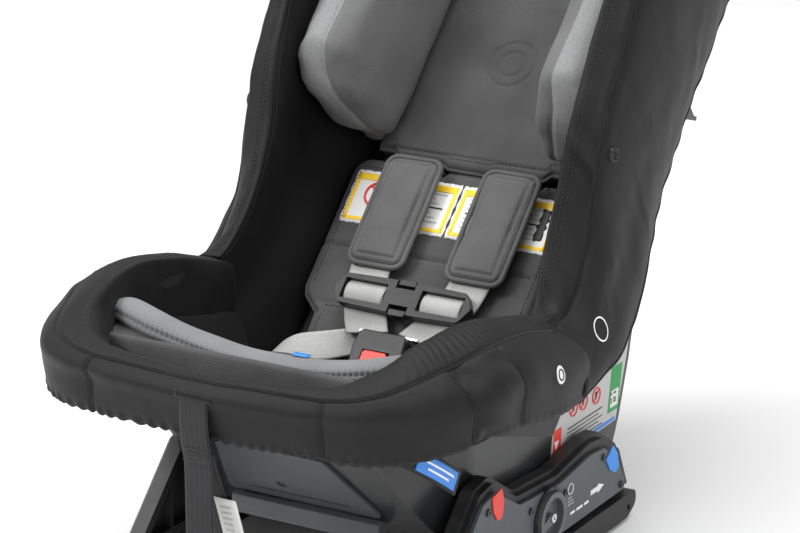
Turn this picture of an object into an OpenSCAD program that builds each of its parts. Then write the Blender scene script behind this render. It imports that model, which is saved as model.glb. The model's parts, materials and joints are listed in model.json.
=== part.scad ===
// Convertible child car seat: a reclining bucket on a low base with two side pods.
// +Z is up, the child faces -Y, and X runs from the child's right to left.
// Heights and depths below are laid out from a datum, and place() moves them to the origin.

/* [Base] */
// Overall width across the two side plates
base_w = 300; // [290:1:320]
// Thickness of a side pod without its plate
pod_t = 16; // [14:1:20]
// Thickness of the coloured side plates
plate_t = 4; // [3:0.5:5]
// Diameter of the lock knob
knob_d = 44; // [40:1:48]
// Radius of the curved recline runners
runner_r = 150; // [146:1:152]

/* [Shell] */
// Width of the lower shell between the pods
shell_w = 252; // [240:1:254]
// Wall thickness of the moulded shells
wall = 4; // [3:0.5:5]
// Angle of the back from vertical
recline = 45; // [40:1:50]
// Length of the back from the bight to the top of the shell
back_len = 585; // [560:5:600]

/* [Cover] */
// Width across the padded rim
rim_w = 414; // [400:2:420]

/* [Head rest] */
// Width of the head pad between its side pillows
head_w = 184; // [170:2:190]
// Distance the head rest rises
head_travel = 85; // [60:5:85]

/* [Harness] */
// Width of the harness webbing
web_w = 38; // [36:1:40]
// Thickness of the harness webbing
web_t = 1.6; // [1.2:0.1:2]
// Distance between the centres of the shoulder straps
strap_gap = 92; // [84:2:96]
// Width of the chest clip
clip_w = 132; // [126:1:136]

/* [Hidden] */
$fn = 48;

// datum to origin: the floor and the middle of the depth
floor_z = 14;
origin_y = -4.61;
// the bight, where the back meets the seat
bight = [-92, 172];
// slope of the seat surface
seat_tilt = 18;
// clearance between pieces of different bodies, and of one body
gap = 0.4;
snug = 0.2;
// half sizes
pod_x = base_w / 2 - plate_t;
pod_in = pod_x - pod_t;
shell_x = shell_w / 2;
pan_x = 150;
rim_x = rim_w / 2;
// knob and recline axes, as [y, z]
knob_at = [-80, 68];
recline_at = [-60, 172];
// steel bar that ties the pods together, as [y, z]
bar_at = [40, 54];
// front surface of the back plate, behind the pads
plate_d = -32;
// shoulder strap slots, and clamps of the head rest rods, up the back
slot_l = [196, 250, 304];
clamp_l = [200, 556];
// distance of the head rest rods from the middle
rod_x = 84;

// ---- helpers -------------------------------------------------------------
function unit(v) = v / norm(v);

// Round one corner of an outline, p between a and b
function corner(a, p, b, r, n = 5) =
  let (u = unit(a - p), v = unit(b - p), half = acos(u * v) / 2, t = r / tan(half),
       c = p + unit(u + v) * r / sin(half), s = p + u * t, e = p + v * t,
       a0 = atan2(s.y - c.y, s.x - c.x), a1 = atan2(e.y - c.y, e.x - c.x),
       sweep = (a1 - a0 + 540) % 360 - 180)
  [for (i = [0 : n]) c + r * [cos(a0 + sweep * i / n), sin(a0 + sweep * i / n)]];

// Outline of [x, y, radius] corners as plain points
function outline(pts) =
  let (n = len(pts), xy = [for (p = pts) [p.x, p.y]])
  [for (i = [0 : n - 1])
    each (pts[i][2] > 0
      ? corner(xy[(i + n - 1) % n], xy[i], xy[(i + 1) % n], pts[i][2])
      : [xy[i]])];

// Twice the signed area of an outline, positive when it runs anticlockwise
function area2(pts, i = 0) = i == len(pts) ? 0
  : let (a = pts[i], b = pts[(i + 1) % len(pts)]) a.x * b.y - b.x * a.y + area2(pts, i + 1);

// The same corners moved inward by t, with their radii cut by as much
function inset(pts, t) =
  let (n = len(pts), s = area2(pts) > 0 ? 1 : -1)
  [for (i = [0 : n - 1])
    let (a = pts[(i + n - 1) % n], p = pts[i], b = pts[(i + 1) % n],
         u = unit([p.x - a.x, p.y - a.y]), v = unit([b.x - p.x, b.y - p.y]),
         nu = s * [-u.y, u.x], nv = s * [-v.y, v.x], m = unit(nu + nv))
    [p.x + m.x * t / (m * nu), p.y + m.y * t / (m * nu), max(0, p[2] - t)]];

// A path moved sideways by t, to its left
function beside(p, t) =
  let (n = len(p), left = [for (i = [0 : n - 2]) let (u = unit(p[i + 1] - p[i])) [-u.y, u.x]])
  [for (i = [0 : n - 1])
    i == 0 ? p[0] + left[0] * t
    : i == n - 1 ? p[i] + left[n - 2] * t
    : p[i] + unit(left[i - 1] + left[i]) * t / cos(acos(left[i - 1] * left[i]) / 2)];

// Closed strip of thickness t along a path
function strip(p, t) = let (q = beside(p, t)) concat(p, [for (i = [len(q) - 1 : -1 : 0]) q[i]]);

// Point of the back, from distance up the back and distance in front of it
function back_point(l, d) =
  [bight.x + l * sin(recline) - d * cos(recline), bight.y + l * cos(recline) + d * sin(recline)];

// Point of the seat, from distance forward of the bight and height over the seat surface
function seat_point(s, h) =
  [bight.x - s * cos(seat_tilt) + h * sin(seat_tilt), bight.y + s * sin(seat_tilt) + h * cos(seat_tilt)];

module place() translate([0, -origin_y, -floor_z]) children();

// Frame of the back: X across, -Y in front of the back surface, Z up the back
module on_back_local() translate([0, bight.x, bight.y]) rotate([-recline, 0, 0]) children();
module on_back() place() on_back_local() children();

// Frame of the seat: X across, -Y forward along the seat, Z off the seat surface
module on_seat_local() translate([0, bight.x, bight.y]) rotate([-seat_tilt, 0, 0]) children();
module on_seat() place() on_seat_local() children();

// Extrude a [y, z] outline across, from x0 to x1
module across(x0, x1) translate([x0, 0, 0]) rotate([90, 0, 90]) linear_extrude(x1 - x0) children();

// Extrude an [x, distance in front] outline up the back, from l0 to l1
module up_back(l0, l1) translate([0, 0, l0]) linear_extrude(l1 - l0) mirror([0, 1]) children();

// The same [distance in front, up the back] outline, across
module back_side(x0, x1) across(x0, x1) mirror([1, 0]) children();

module both_sides() {
  children();
  mirror([1, 0, 0]) children();
}

module disc_x(x0, x1, r) translate([x0, 0, 0]) rotate([0, 90, 0]) cylinder(h = x1 - x0, r = r);

// ---- shared outlines -----------------------------------------------------
// Side pod, seen from the side
pod_side = [
  [-276, 42, 2], [-192, 128, 10], [-168, 132, 12], [-128, 106, 22], [-60, 101, 40],
  [0, 110, 26], [26, 107, 16], [58, 86, 14], [78, 42, 3]
];
// Coloured plate inside the pod's border
plate_side = [
  [-262, 44, 6], [-192, 117, 6], [-172, 121, 6], [-130, 96, 16], [-60, 91, 30],
  [-6, 98, 16], [20, 96, 10], [46, 78, 10], [64, 46, 6]
];
// Lower skirt of a pod
skirt_side = [[-296, 18, 2], [-277, 40, 0], [76, 40, 4], [80, 28, 10], [62, 18, 14]];
// Lower shell, seen from the side
shell_front = [[-302, 206], [-298, 201.5], [-270, 161], [-213, 97], [-190, 75]];
shell_rear = [[60, 66], [80, 71], [93, 97], [111, 148], [129, 221], [154, 268], [181, 311], [196, 328],
              [214, 335], [234, 329]];
// Lower shell from above, narrow at the front
shell_plan = [[shell_x, 260, 0], [shell_x, -170, 50], [98, -262, 30], [92, -330, 0],
              [-92, -330, 0], [-98, -262, 30], [-shell_x, -170, 50], [-shell_x, 260, 0]];
// Side wings, as [distance in front, up the back]
wing_side = [
  [79, 42.5, 4], [29, -7.5, 8], [5, 14, 16], [-16, 60, 24], [-46, 110, 20], [-46, 596, 10],
  [-10, 604, 20], [60, 588, 40], [118, 540, 50], [150, 480, 50], [164, 410, 60],
  [164, 345, 60], [150, 275, 60], [132, 222, 30], [92, 145, 30], [80, 100, 30], [78, 70, 8]
];
wing_wall_side = [
  [64, 44, 0], [24, 2, 0], [6, 20, 0], [-14, 64, 0], [-38, 110, 0], [-38, 556, 0], [-30, 560, 0],
  [-20, 588, 8], [54, 576, 30], [108, 530, 40], [138, 474, 40], [150, 408, 50],
  [150, 348, 40], [137, 282, 30], [114, 220, 0], [78, 148, 0], [62, 112, 0], [57, 90, 0], [56, 62, 0]
];
// Outer side of the moulded wing wall, as [x, distance in front]
wing_path = [[100, -36], [138, -36], [150, -20], [159.5, 16], [162.5, 60], [162.5, 100], [160, 128], [156.5, 148]];
// Outside of the cover, from its rear hem round to the front edge
wing_outer = [[136, -44], [156, -38], [168, -18], [178, 20], [181, 60], [179, 100], [174, 135],
              [167, 158], [160, 166], [154, 163]];
// Cavity that holds the wall, along its outer side
wing_pocket = [[158.2, 154], [161, 128.5], [163.3, 101], [163.3, 59], [160.3, 15], [150.7, -20.6],
               [138.4, -37.2], [136, -37.2]];
// Inside of the cover, and the foam's side of it
wing_inner = [[150.5, 148], [147.5, 120], [146, 100], [143, 61], [136.6, 17], [126, 4], [116, 2]];
wing_lining = [[116, -0.7], [127, 1.3], [138.7, 15.3], [145.2, 60], [148.2, 99], [149.7, 119],
               [152.7, 147], [154.5, 153]];
// Foam block between the wall and the lining
wing_block = [[116, -30], [133, -30], [145.5, -16], [154.6, 18], [157.5, 60], [157.4, 99], [155.4, 126],
              [153.2, 140], [152.8, 140], [150.2, 119], [148.6, 99], [145.6, 60], [139.2, 15], [127, 1], [116, -1]];

// ---- base ----------------------------------------------------------------
module base_tray() color("#1c1d1f") place() {
  difference() {
    translate([-pod_in + snug, -88, floor_z + 4]) cube([2 * (pod_in - snug), 150, 16]);
    translate([-pod_in + 6, -80, floor_z + 8]) cube([2 * (pod_in - 6), 134, 20]);
  }
  // curved tracks under the runners
  both_sides() for (x = [66, 96]) translate([x, 0, 0])
    difference() {
      translate([-3, -84, floor_z + 6]) cube([6, 142, 26]);
      translate([-4, recline_at.x, recline_at.y]) disc_x(0, 8, runner_r - 12);
    }
}

module pod() difference() {
  union() {
    across(pod_in, pod_x - 5) polygon(outline(pod_side));
    across(pod_x - 5.01, pod_x) polygon(outline(inset(pod_side, 4)));
  }
  // open inner side, in cells between upright ribs
  for (y = [-262 : 44 : 46]) intersection() {
    across(pod_in - 1, pod_x - 6) polygon(outline(inset(pod_side, 8)));
    difference() {
      translate([0, y, 0]) cube([2 * pod_x, 41, 200]);
      translate([0, knob_at.x, knob_at.y]) disc_x(0, 2 * pod_x, 13);
      translate([0, bar_at.x, bar_at.y]) disc_x(0, 2 * pod_x, 13);
    }
  }
  translate([0, knob_at.x, knob_at.y]) disc_x(0, pod_x + 1, 7.05);
  translate([0, bar_at.x, bar_at.y]) disc_x(0, pod_x - 2, 7.2);
}
module pod_left() color("#1b1c1e") place() mirror([1, 0, 0]) pod();
module pod_right() color("#1b1c1e") place() pod();

module side_plate() difference() {
  across(pod_x + snug, pod_x + plate_t) polygon(outline(plate_side));
  translate([0, knob_at.x, knob_at.y]) disc_x(0, 200, knob_d / 2 + 4);
}
module side_plate_left() color("#5c6268") place() mirror([1, 0, 0]) side_plate();
module side_plate_right() color("#5c6268") place() side_plate();

module skirt() difference() {
  across(pod_in + 1, pod_x + plate_t + 2) polygon(outline(skirt_side));
  translate([pod_in - 1, -250, 22]) cube([8, 300, 14]);
  translate([0, 64, 27]) disc_x(pod_x, pod_x + 10, 2.6);
}
module skirt_left() color("#2b2c2e") place() mirror([1, 0, 0]) skirt();
module skirt_right() color("#2b2c2e") place() skirt();

module foot_pads() color("#101010") place() both_sides()
  for (y = [-270, -190, -60, 20]) translate([pod_in + 3, y, floor_z]) cube([14, 34, 4 - snug]);

// Five screw heads on each plate, as [y, z]
screw_spots = [[-184, 108], [-112, 84], [-52, 80], [18, 88], [52, 52]];
module plate_screws() color("#0c0c0d") place() both_sides() for (p = screw_spots)
  translate([0, p.x, p.y]) difference() {
    disc_x(pod_x + plate_t + 0.05, pod_x + plate_t + 1.6, 3.2);
    disc_x(pod_x + plate_t + 0.8, pod_x + plate_t + 3, 1.5, $fn = 6);
  }

// Coloured markers that show each belt path
module marker(p, turn) translate([0, p.x, p.y]) rotate([turn, 0, 0])
  across(pod_x + plate_t + 0.05, pod_x + plate_t + 1.4)
    polygon(outline([[-8, 9, 0], [8, 9, 0], [9, -4, 4], [4, -16, 5], [-4, -16, 5], [-9, -4, 4]]));
module front_belt_guides() color("#d8473f") place() both_sides() marker([-169, 112], 12);
module rear_belt_guides() color("#2f86d6") place() both_sides() marker([33, 82], 36);

module knob_bezels() color("#151617") place() both_sides() translate([0, knob_at.x, knob_at.y])
  difference() {
    disc_x(pod_x + snug, pod_x + plate_t + 1.5, knob_d / 2 + 3.8);
    disc_x(pod_x, 200, knob_d / 2 + gap);
  }

module recline_lock_bar() color("#b8bcc0") place() translate([0, bar_at.x, bar_at.y])
  disc_x(-pod_x + 4, pod_x - 4, 7);

// ---- lock knobs ----------------------------------------------------------
module knob() translate([0, knob_at.x, knob_at.y]) {
  disc_x(pod_in + 2, pod_x + 1, 7);
  difference() {
    disc_x(pod_x + 1, pod_x + plate_t + 5, knob_d / 2);
    disc_x(pod_x + 3, 200, knob_d / 2 - 5);
  }
  // bar handle across the dish
  rotate([14, 0, 0]) difference() {
    across(pod_x + 2, pod_x + plate_t + 4.4)
      polygon(outline([[-knob_d / 2 + 3, -3, 2], [0, -5, 3], [7, 0, 4], [0, 5, 3], [-knob_d / 2 + 3, 3, 2]]));
    disc_x(pod_x + 5, 200, 4.2);
  }
}
module knob_left() color("#3a3c3f") place() mirror([1, 0, 0]) knob();
module knob_right() color("#3a3c3f") place() knob();

module knob_bolt() translate([0, knob_at.x, knob_at.y]) difference() {
  disc_x(pod_x + 5 + snug, pod_x + plate_t + 5.5, 4);
  disc_x(pod_x + plate_t + 3, 200, 2, $fn = 6);
}
module knob_bolt_left() color("#cfd2d6") place() mirror([1, 0, 0]) knob_bolt();
module knob_bolt_right() color("#cfd2d6") place() knob_bolt();

// ---- shells --------------------------------------------------------------
// Underside of the seat pan, front to bight to top of back
pan_front = seat_point(222, -24);
pan_corner = [-77, 142];
pan_path = [pan_front, pan_corner, back_point(back_len - 18, plate_d)];

module seat_pan() color("#202123") {
  place() {
    // floor and back in one bent panel
    difference() {
      across(-pan_x, pan_x) polygon(strip(pan_path, -wall));
      // belt slots of the shoulder straps and the buckle strap
      on_back_local() for (s = [-1, 1], l = slot_l)
        translate([s * strap_gap / 2 - 22, 25, l]) cube([44, 20, 8]);
      on_seat_local() translate([-22, -44, -46]) cube([44, 24, 36]);
      // the back is narrower than the seat, inside the wings
      on_back_local() both_sides() translate([138, 20, 30]) cube([20, 30, 600]);
    }
    // rim walls
    both_sides() across(pan_x - wall, pan_x)
      polygon([[-308, 214], [-308, 246], [-270, 256], [-230, 260], [-150, 256],
               back_point(29, 85), back_point(29, -34), [-80, 140]]);
    difference() {
      translate([-pan_x, -310, 206]) cube([2 * pan_x, wall, 40]);
      translate([-26, -312, 222]) cube([52, 8, 14]);
    }
  }
  // side wings
  on_back() intersection() {
    up_back(-30, 600) polygon(strip(wing_path, wall));
    back_side(90, 200) polygon(outline(wing_wall_side));
  }
  on_back() mirror([1, 0, 0]) intersection() {
    up_back(-30, 600) polygon(strip(wing_path, wall));
    back_side(90, 200) polygon(outline(wing_wall_side));
  }
  // clamps of the head rest rods
  on_back() both_sides() for (l = clamp_l) difference() {
    translate([rod_x - 6, 22, l]) cube([12, 10.2, 8]);
    translate([rod_x, 26, l - 1]) cylinder(h = 10, r = 3.05);
  }
  // stiffening ribs on the back
  on_back() {
    for (x = [-112, -70, 70, 112]) translate([x - 1.5, 35.9, 372]) cube([3, 12, 190]);
    for (l = [380, 440, 500, 556]) translate([-128, 35.9, l]) cube([256, 9, 3]);
  }
}

module lower_shell() color("#2a2b2e") place() intersection() {
  union() {
    // side walls, up to the underside of the seat pan
    difference() {
      across(-shell_x, shell_x)
        polygon(concat(shell_front, shell_rear,
                       [back_point(352, plate_d - wall - snug), [-74.6, 135.6], [-303, 209.6]]));
      translate([0, 0, 50]) linear_extrude(400) polygon(outline(inset(shell_plan, wall)));
    }
    // belly, floor and rear
    across(-shell_x, shell_x) polygon(strip(shell_front, wall));
    across(-shell_x, shell_x) polygon(strip([shell_front[4], shell_rear[0], shell_rear[1]], wall));
    across(-shell_x, shell_x) polygon(strip([for (i = [1 : len(shell_rear) - 1]) shell_rear[i]], wall));
  }
  translate([0, 0, 50]) linear_extrude(400) polygon(outline(shell_plan));
}

// Tapered panel on the sloping belly
belly_turn = 41.7;
module belly_panel() color("#4a4d51") place() translate([0, shell_front[2].x, shell_front[2].y])
  rotate([belly_turn, 0, 0]) translate([0, -snug, 0]) rotate([90, 0, 0]) difference() {
    linear_extrude(2.6) polygon(outline([[-50, 4, 4], [-74, -82, 6], [74, -82, 6], [50, 4, 4]]));
    // finger slot and sight hole
    translate([-46, -72, 1.4]) cube([92, 2.4, 4]);
    translate([-12, -56, 1]) cylinder(h = 4, r = 4.5);
  }

// Arched runners, cut off along the floor of the shell
module recline_runners() color("#111214") place() both_sides() difference() {
  translate([70, recline_at.x, recline_at.y]) difference() {
    disc_x(0, 22, runner_r - 13, $fn = 96);
    disc_x(-1, 24, runner_r - 38, $fn = 96);
  }
  across(69, 99) polygon(concat([for (p = [shell_front[4], shell_rear[0]]) p - [0, snug]],
                                [[140, 63], [140, 400], [-260, 400], [-260, 77.4]]));
}

module side_labels() color("#c9cac8") place() both_sides()
  across(shell_x + 0.1, shell_x + 0.8)
    polygon(outline([[-30, 124, 3], [-34, 94, 3], [86, 96, 2], [105, 150, 0], [123, 222, 0], [148, 269, 0],
                     [174, 311, 2], [150, 316, 0], [-10, 200, 0]]));

// ---- padding and cover ---------------------------------------------------
module wing_foam() on_back() intersection() {
  up_back(31, 600) polygon(wing_block);
  back_side(90, 200) polygon(outline(inset(wing_side, 5)));
}
module wing_foam_left() color("#e8e8e6") mirror([1, 0, 0]) wing_foam();
module wing_foam_right() color("#e8e8e6") wing_foam();

// Cover: a thick outside leg and a thin inside leg that meet at the front edge
module wing_cover() on_back() intersection() {
  union() {
    up_back(-40, 30.1) polygon(concat(wing_outer, [[156, 156]], wing_pocket));
    up_back(30, 610) polygon(concat(wing_outer, wing_inner, wing_lining, wing_pocket));
  }
  back_side(90, 210) polygon(outline(wing_side));
}
module wing_cover_left() color("#17181a") mirror([1, 0, 0]) wing_cover();
module wing_cover_right() color("#17181a") wing_cover();

// Padded rim: a plan outline cut by its side outline and by its outline from the front
rim_rear = -118;
module rim_cover() color("#17181a") place() intersection() {
  difference() {
    translate([0, 0, 180]) linear_extrude(120)
      polygon(outline([[-rim_x + 6, rim_rear, 0], [-rim_x, -190, 60], [-rim_x + 2, -262, 60], [-146, -364, 70],
                       [-60, -368, 60], [60, -368, 60], [146, -364, 70], [rim_x - 2, -262, 60],
                       [rim_x, -190, 60], [rim_x - 6, rim_rear, 0]]));
    translate([-pan_x - 2, -312, 170]) cube([2 * pan_x + 4, 240, 140]);
    // slot of the harness adjuster
    translate([-24, -380, 220]) cube([48, 80, 18]);
  }
  across(-230, 230) polygon(outline([[-375, 202, 0], [-352, 254, 20], [-300, 264, 20], [-225, 286, 40],
                                     [rim_rear, 256, 0], [rim_rear, 188, 0], [-160, 194, 20], [-250, 209, 40],
                                     [-300, 204, 30]]));
  rotate([90, 0, 0]) linear_extrude(400)
    polygon([[-230, 150], [230, 150], [230, 228], [202, 254], [176, 276], [152, 290],
             [-152, 290], [-176, 276], [-202, 254], [-230, 228]]);
}

// Padded crown that joins the two wings over the top of the back
module crown_cover() color("#17181a") on_back() across(-115.5, 115.5)
  polygon(outline([[46, 568, 6], [-8, 570, 8], [-22, 584, 12], [-14, 602, 12], [30, 606, 16], [46, 598, 8]]));

module back_pad() color("#4a4b4f") on_back() {
  intersection() {
    up_back(2, 194) polygon(outline([[-107, 0, 8], [-107, -31.5, 2], [107, -31.5, 2], [107, 0, 8]]));
    translate([0, 60, 0]) rotate([90, 0, 0]) linear_extrude(120)
      polygon(outline([[-88, 2, 6], [88, 2, 6], [88, 46, 0], [107, 58, 14], [107, 194, 14], [72, 194, 0],
                       [72, 188, 0], [20, 188, 0], [20, 194, 0], [-20, 194, 0], [-20, 188, 0], [-72, 188, 0],
                       [-72, 194, 0], [-107, 194, 14], [-107, 58, 14], [-88, 46, 0]]));
  }
}

module back_lining() color("#1d1e20") on_back()
  difference() {
    up_back(196, 567) polygon([[-115, -31.6], [115, -31.6], [115, -29.6], [-115, -29.6]]);
    for (s = [-1, 1], l = slot_l)
      translate([s * strap_gap / 2 - 22, 25, l - 1]) cube([44, 20, 10]);
    for (s = [-1, 1], l = clamp_l)
      translate([s * rod_x - 7, 25, l - 1]) cube([14, 20, 10]);
  }

module seat_cushion() color("#9c9da0") place() difference() {
  intersection() {
    across(-150, 150) polygon(outline([
      concat(seat_point(8, -23.6), [0]), concat(seat_point(8, -2), [4]), concat(seat_point(120, 1), [40]),
      concat(seat_point(192, -3), [30]), concat(seat_point(206, 12), [6]), concat(seat_point(220, 10), [6]),
      concat(seat_point(221, -20), [6]), concat(seat_point(212, -23.6), [0])]));
    translate([0, 0, 100]) linear_extrude(200)
      polygon(outline([[-104, -60, 0], [-112, -160, 20], [-140, -250, 20], [-141, -296, 40], [-70, -304, 60],
                       [70, -304, 60], [141, -296, 40], [140, -250, 20], [112, -160, 20], [104, -60, 0]]));
  }
  // recess for the buckle, and the way through for its strap
  on_seat_local() translate([-23, -46, -60]) cube([46, 44, 120]);
  on_back_local() translate([-27, -30, -22]) cube([54, 40, 80]);
}

// ---- harness -------------------------------------------------------------
module buckle_strap() color("#bcbcba") on_back()
  translate([-web_w / 2, -16.8, -46]) cube([web_w, web_t, 27.8]);

// Lap strap, from the hip plate to the tongue
module lap_strap() on_seat() translate([30, 0, 0]) intersection() {
  translate([0, -30, 3.4]) rotate([0, -4, -8]) cube([80, 30, web_t]);
  translate([0, -60, 0]) cube([74, 90, 30]);
}
module lap_strap_left() color("#bcbcba") mirror([1, 0, 0]) lap_strap();
module lap_strap_right() color("#bcbcba") lap_strap();

module hip_plates() color("#8c9094") on_seat() both_sides()
  translate([105, -30, 1.4]) difference() {
    cube([3, 34, 26]);
    translate([-1, 4, 6]) cube([5, 24, 4]);
  }

// Shoulder strap: straight beside the pad, then in to the tongue
strap_top_l = 196.6;
strap_bend_l = 84;
module shoulder_strap() on_back() {
  x0 = strap_gap / 2;
  translate([x0 - web_w / 2, -9.5, strap_bend_l]) cube([web_w, web_t, strap_top_l - strap_bend_l]);
  translate([0, -9.5 + web_t, 0]) rotate([90, 0, 0]) linear_extrude(web_t)
    polygon([[x0 - web_w / 2, strap_bend_l], [x0 + web_w / 2, strap_bend_l],
             [56, 62], [34, 27], [4, 27], [19, 62]]);
  // turn back through the slot
  translate([x0 - web_w / 2, -9.5, strap_top_l]) cube([web_w, 46, web_t]);
}
module shoulder_strap_left() color("#bcbcba") mirror([1, 0, 0]) shoulder_strap();
module shoulder_strap_right() color("#bcbcba") shoulder_strap();

module buckle_body() color("#141517") on_back() difference() {
  translate([0, -6, 0]) rotate([90, 0, 0]) linear_extrude(20)
    polygon(outline([[-20, -18, 8], [20, -18, 8], [24, 8, 6], [22, 24, 5], [-22, 24, 5], [-24, 8, 6]]));
  // seat of the button
  translate([-12, -30, -13]) cube([24, 12, 18]);
  // mouth for the tongues
  translate([-19, -20, 12]) cube([38, 5, 20]);
}

module buckle_tongues() color("#a9adb1") on_back() both_sides()
  translate([0, -15.2, 0]) rotate([90, 0, 0]) linear_extrude(2.4)
    polygon([[1, 14], [18, 14], [18, 24.4], [28, 24.4], [28, 26.8], [1, 26.8]]);

module buckle_button() color("#d9332e") on_back() translate([0, -21.5, 0]) rotate([90, 0, 0])
  linear_extrude(6) polygon(outline([[-11.5, -12.5, 3], [11.5, -12.5, 3], [11.5, 4.5, 3], [-11.5, 4.5, 3]]));

// Chest clip: two strap windows and a latch between them
clip_l = 60;
clip_d = 12;
module chest_clip() color("#121315") on_back() translate([0, -clip_d, clip_l]) difference() {
  rotate([90, 0, 0]) linear_extrude(9)
    polygon(outline([[-clip_w / 2, 0, 4], [-clip_w / 2 + 8, 14, 5], [-16, 15.5, 3], [16, 15.5, 3],
                     [clip_w / 2 - 8, 14, 5], [clip_w / 2, 0, 4], [clip_w / 2 - 8, -14, 5], [16, -15.5, 3],
                     [-16, -15.5, 3], [-clip_w / 2 + 8, -14, 5]]));
  // windows for the webbing, each with a set-back bar that it passes over
  for (s = [-1, 1]) translate([s * 37, 0, 0]) {
    for (h = [-9.5, 2.5]) translate([-20.5, -20, h]) cube([41, 40, 7]);
    translate([0, -4.5, 0]) rotate([90, 0, 0]) linear_extrude(10)
      polygon(outline([[-20.5, -9.5, 4], [20.5, -9.5, 4], [20.5, 9.5, 4], [-20.5, 9.5, 4]]));
  }
  // room for the latch tabs
  for (s = [-1, 1]) translate([-9, -10, s > 0 ? 8 : -18]) cube([18, 12, 10]);
}
module clip_tab(s) on_back() translate([0, -clip_d - 1, clip_l])
  mirror([0, 0, s > 0 ? 0 : 1]) translate([0, 0, 11.4]) rotate([90, 0, 0]) linear_extrude(7)
    polygon(outline([[-8.6, 0, 1], [8.6, 0, 1], [7.5, 6, 2], [-7.5, 6, 2]]));
module clip_tab_top() color("#1e1f22") clip_tab(1);
module clip_tab_bottom() color("#1e1f22") clip_tab(-1);

// Shoulder pad: a padded sleeve round the strap
pad_w = 48;
pad_l = [92, 182];
module shoulder_pad() on_back() translate([strap_gap / 2, 0, 0]) difference() {
  translate([0, 0, pad_l[0]]) linear_extrude(pad_l[1] - pad_l[0])
    polygon(outline([[-pad_w / 2, -2, 2], [pad_w / 2, -2, 2], [pad_w / 2, -18, 8], [-pad_w / 2, -18, 8]]));
  translate([-web_w / 2 - 1, -11, 0]) cube([web_w + 2, web_t + 3, 300]);
}
module shoulder_pad_left() color("#66676b") mirror([1, 0, 0]) shoulder_pad();
module shoulder_pad_right() color("#66676b") shoulder_pad();

module snap_studs() color("#101112") on_back() both_sides()
  translate([180.3, -88, 188]) disc_x(0, 2.4, 6);

// Metal throat in the rim that the adjuster strap comes through
module adjuster_bezel() color("#8f9296") place() difference() {
  translate([-23, -366, 221]) cube([46, 20, 16]);
  translate([-20, -370, 224]) cube([40, 30, 10]);
}
// Its release lever, with the pin that it turns on
lever_pin = [-337, 231.7];
module adjuster_lever() color("#c2c5c9") place() {
  translate([-19, -362, 230.5]) cube([38, 25, 2.4]);
  translate([0, lever_pin.x, lever_pin.y]) disc_x(-19, 19, 1.8);
}

// Pull loop of webbing, sewn to itself under the slot
module adjuster_strap() color("#1a1b1d") place() {
  translate([-12.5, -371.4, 60]) cube([25, web_t, 165]);
  translate([-12.5, -371.4, 224.2]) cube([25, 22, web_t]);
  across(-12.5, 12.5) polygon(strip([[-369.6, 192], [-352, 150], [-338, 100], [-334, 60]], web_t));
  across(-12.5, 12.5) difference() {
    translate([-352.2, 60]) circle(r = 19.2);
    translate([-352.2, 60]) circle(r = 17.6);
    translate([-400, 60]) square([100, 60]);
  }
}

// ---- behind the back -----------------------------------------------------
module splitter_plate() color("#9ea2a6") on_back() translate([-34, 50, 120]) difference() {
  cube([68, 3, 30]);
  for (x = [6, 38]) translate([x, -1, 18]) cube([24, 5, 5]);
  translate([20, -1, 6]) cube([28, 5, 5]);
}
module rear_webbing() color("#8d8d8b") on_back() {
  both_sides() translate([3, 46.5, 138]) cube([24, web_t, 56]);
  translate([-14, 46.5, 20]) cube([28, web_t, 108]);
}
// Steel rods that the head rest runs on
module guide_rods() color("#b4b8bb") on_back() both_sides()
  translate([rod_x, 26, clamp_l[0]]) cylinder(h = 281 + head_travel, r = 3);

// ---- head rest -----------------------------------------------------------
module headrest_core() color("#26272a") on_back() difference() {
  union() {
    up_back(196, 446) polygon([[-94, -21.6], [94, -21.6], [94, -18.4], [-94, -18.4]]);
    both_sides() for (l = [210, 416]) translate([rod_x - 7, 18.6, l]) cube([14, 10.6, 22]);
  }
  both_sides() translate([rod_x, 26, 190]) cylinder(h = 300, r = 3.08);
  for (s = [-1, 1]) translate([s * strap_gap / 2 - 21, 10, 190]) cube([42, 20, 14]);
}

module head_pad() color("#45464a") on_back() intersection() {
  up_back(190, 470) polygon(outline([[-head_w / 2, 1, 6], [-head_w / 2, -18.2, 2], [head_w / 2, -18.2, 2], [head_w / 2, 1, 6]]));
  translate([0, 60, 0]) rotate([90, 0, 0]) linear_extrude(120)
    polygon(outline([[-head_w / 2, 206, 10], [-72, 206, 4], [-72, 199, 4], [-24, 199, 6], [-21, 196, 0], [21, 196, 0],
                     [24, 199, 6], [72, 199, 4], [72, 206, 4], [head_w / 2, 206, 10],
                     [head_w / 2, 424, 30], [60, 454, 40], [-60, 454, 40], [-head_w / 2, 424, 30]]));
}

module head_pillow() on_back() intersection() {
  up_back(196, 440) polygon(outline([[94, -17, 3], [113, -17, 3], [113, 4.5, 4], [126, 9, 8], [134, 24, 8], [139.5, 70, 20],
                                     [140, 108, 14], [127, 127, 12], [100, 120, 14], [84, 66, 20], [76, 6, 4], [94, 3, 0]]));
  back_side(60, 160) polygon(outline([[-18, 206, 4], [30, 198, 14], [84, 202, 30], [134, 236, 40],
                                      [136, 330, 60], [96, 424, 60], [20, 438, 20], [-18, 434, 4]]));
}
module head_pillow_left() color("#8b8c90") mirror([1, 0, 0]) head_pillow();
module head_pillow_right() color("#8b8c90") head_pillow();

// Squeeze handle at the top of the head rest, with its slide behind the core
handle_l = 455;
module headrest_handle() color("#33353a") on_back() translate([0, 0, handle_l]) {
  translate([0, 8, 0]) rotate([90, 0, 0]) linear_extrude(14)
    polygon(outline([[-44, 0, 3], [44, 0, 3], [36, 20, 8], [-36, 20, 8]]));
  translate([-34, 6, 1]) cube([68, 19, 6]);
  translate([-34, 22.2, -36]) cube([68, 2.8, 40]);
}

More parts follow.
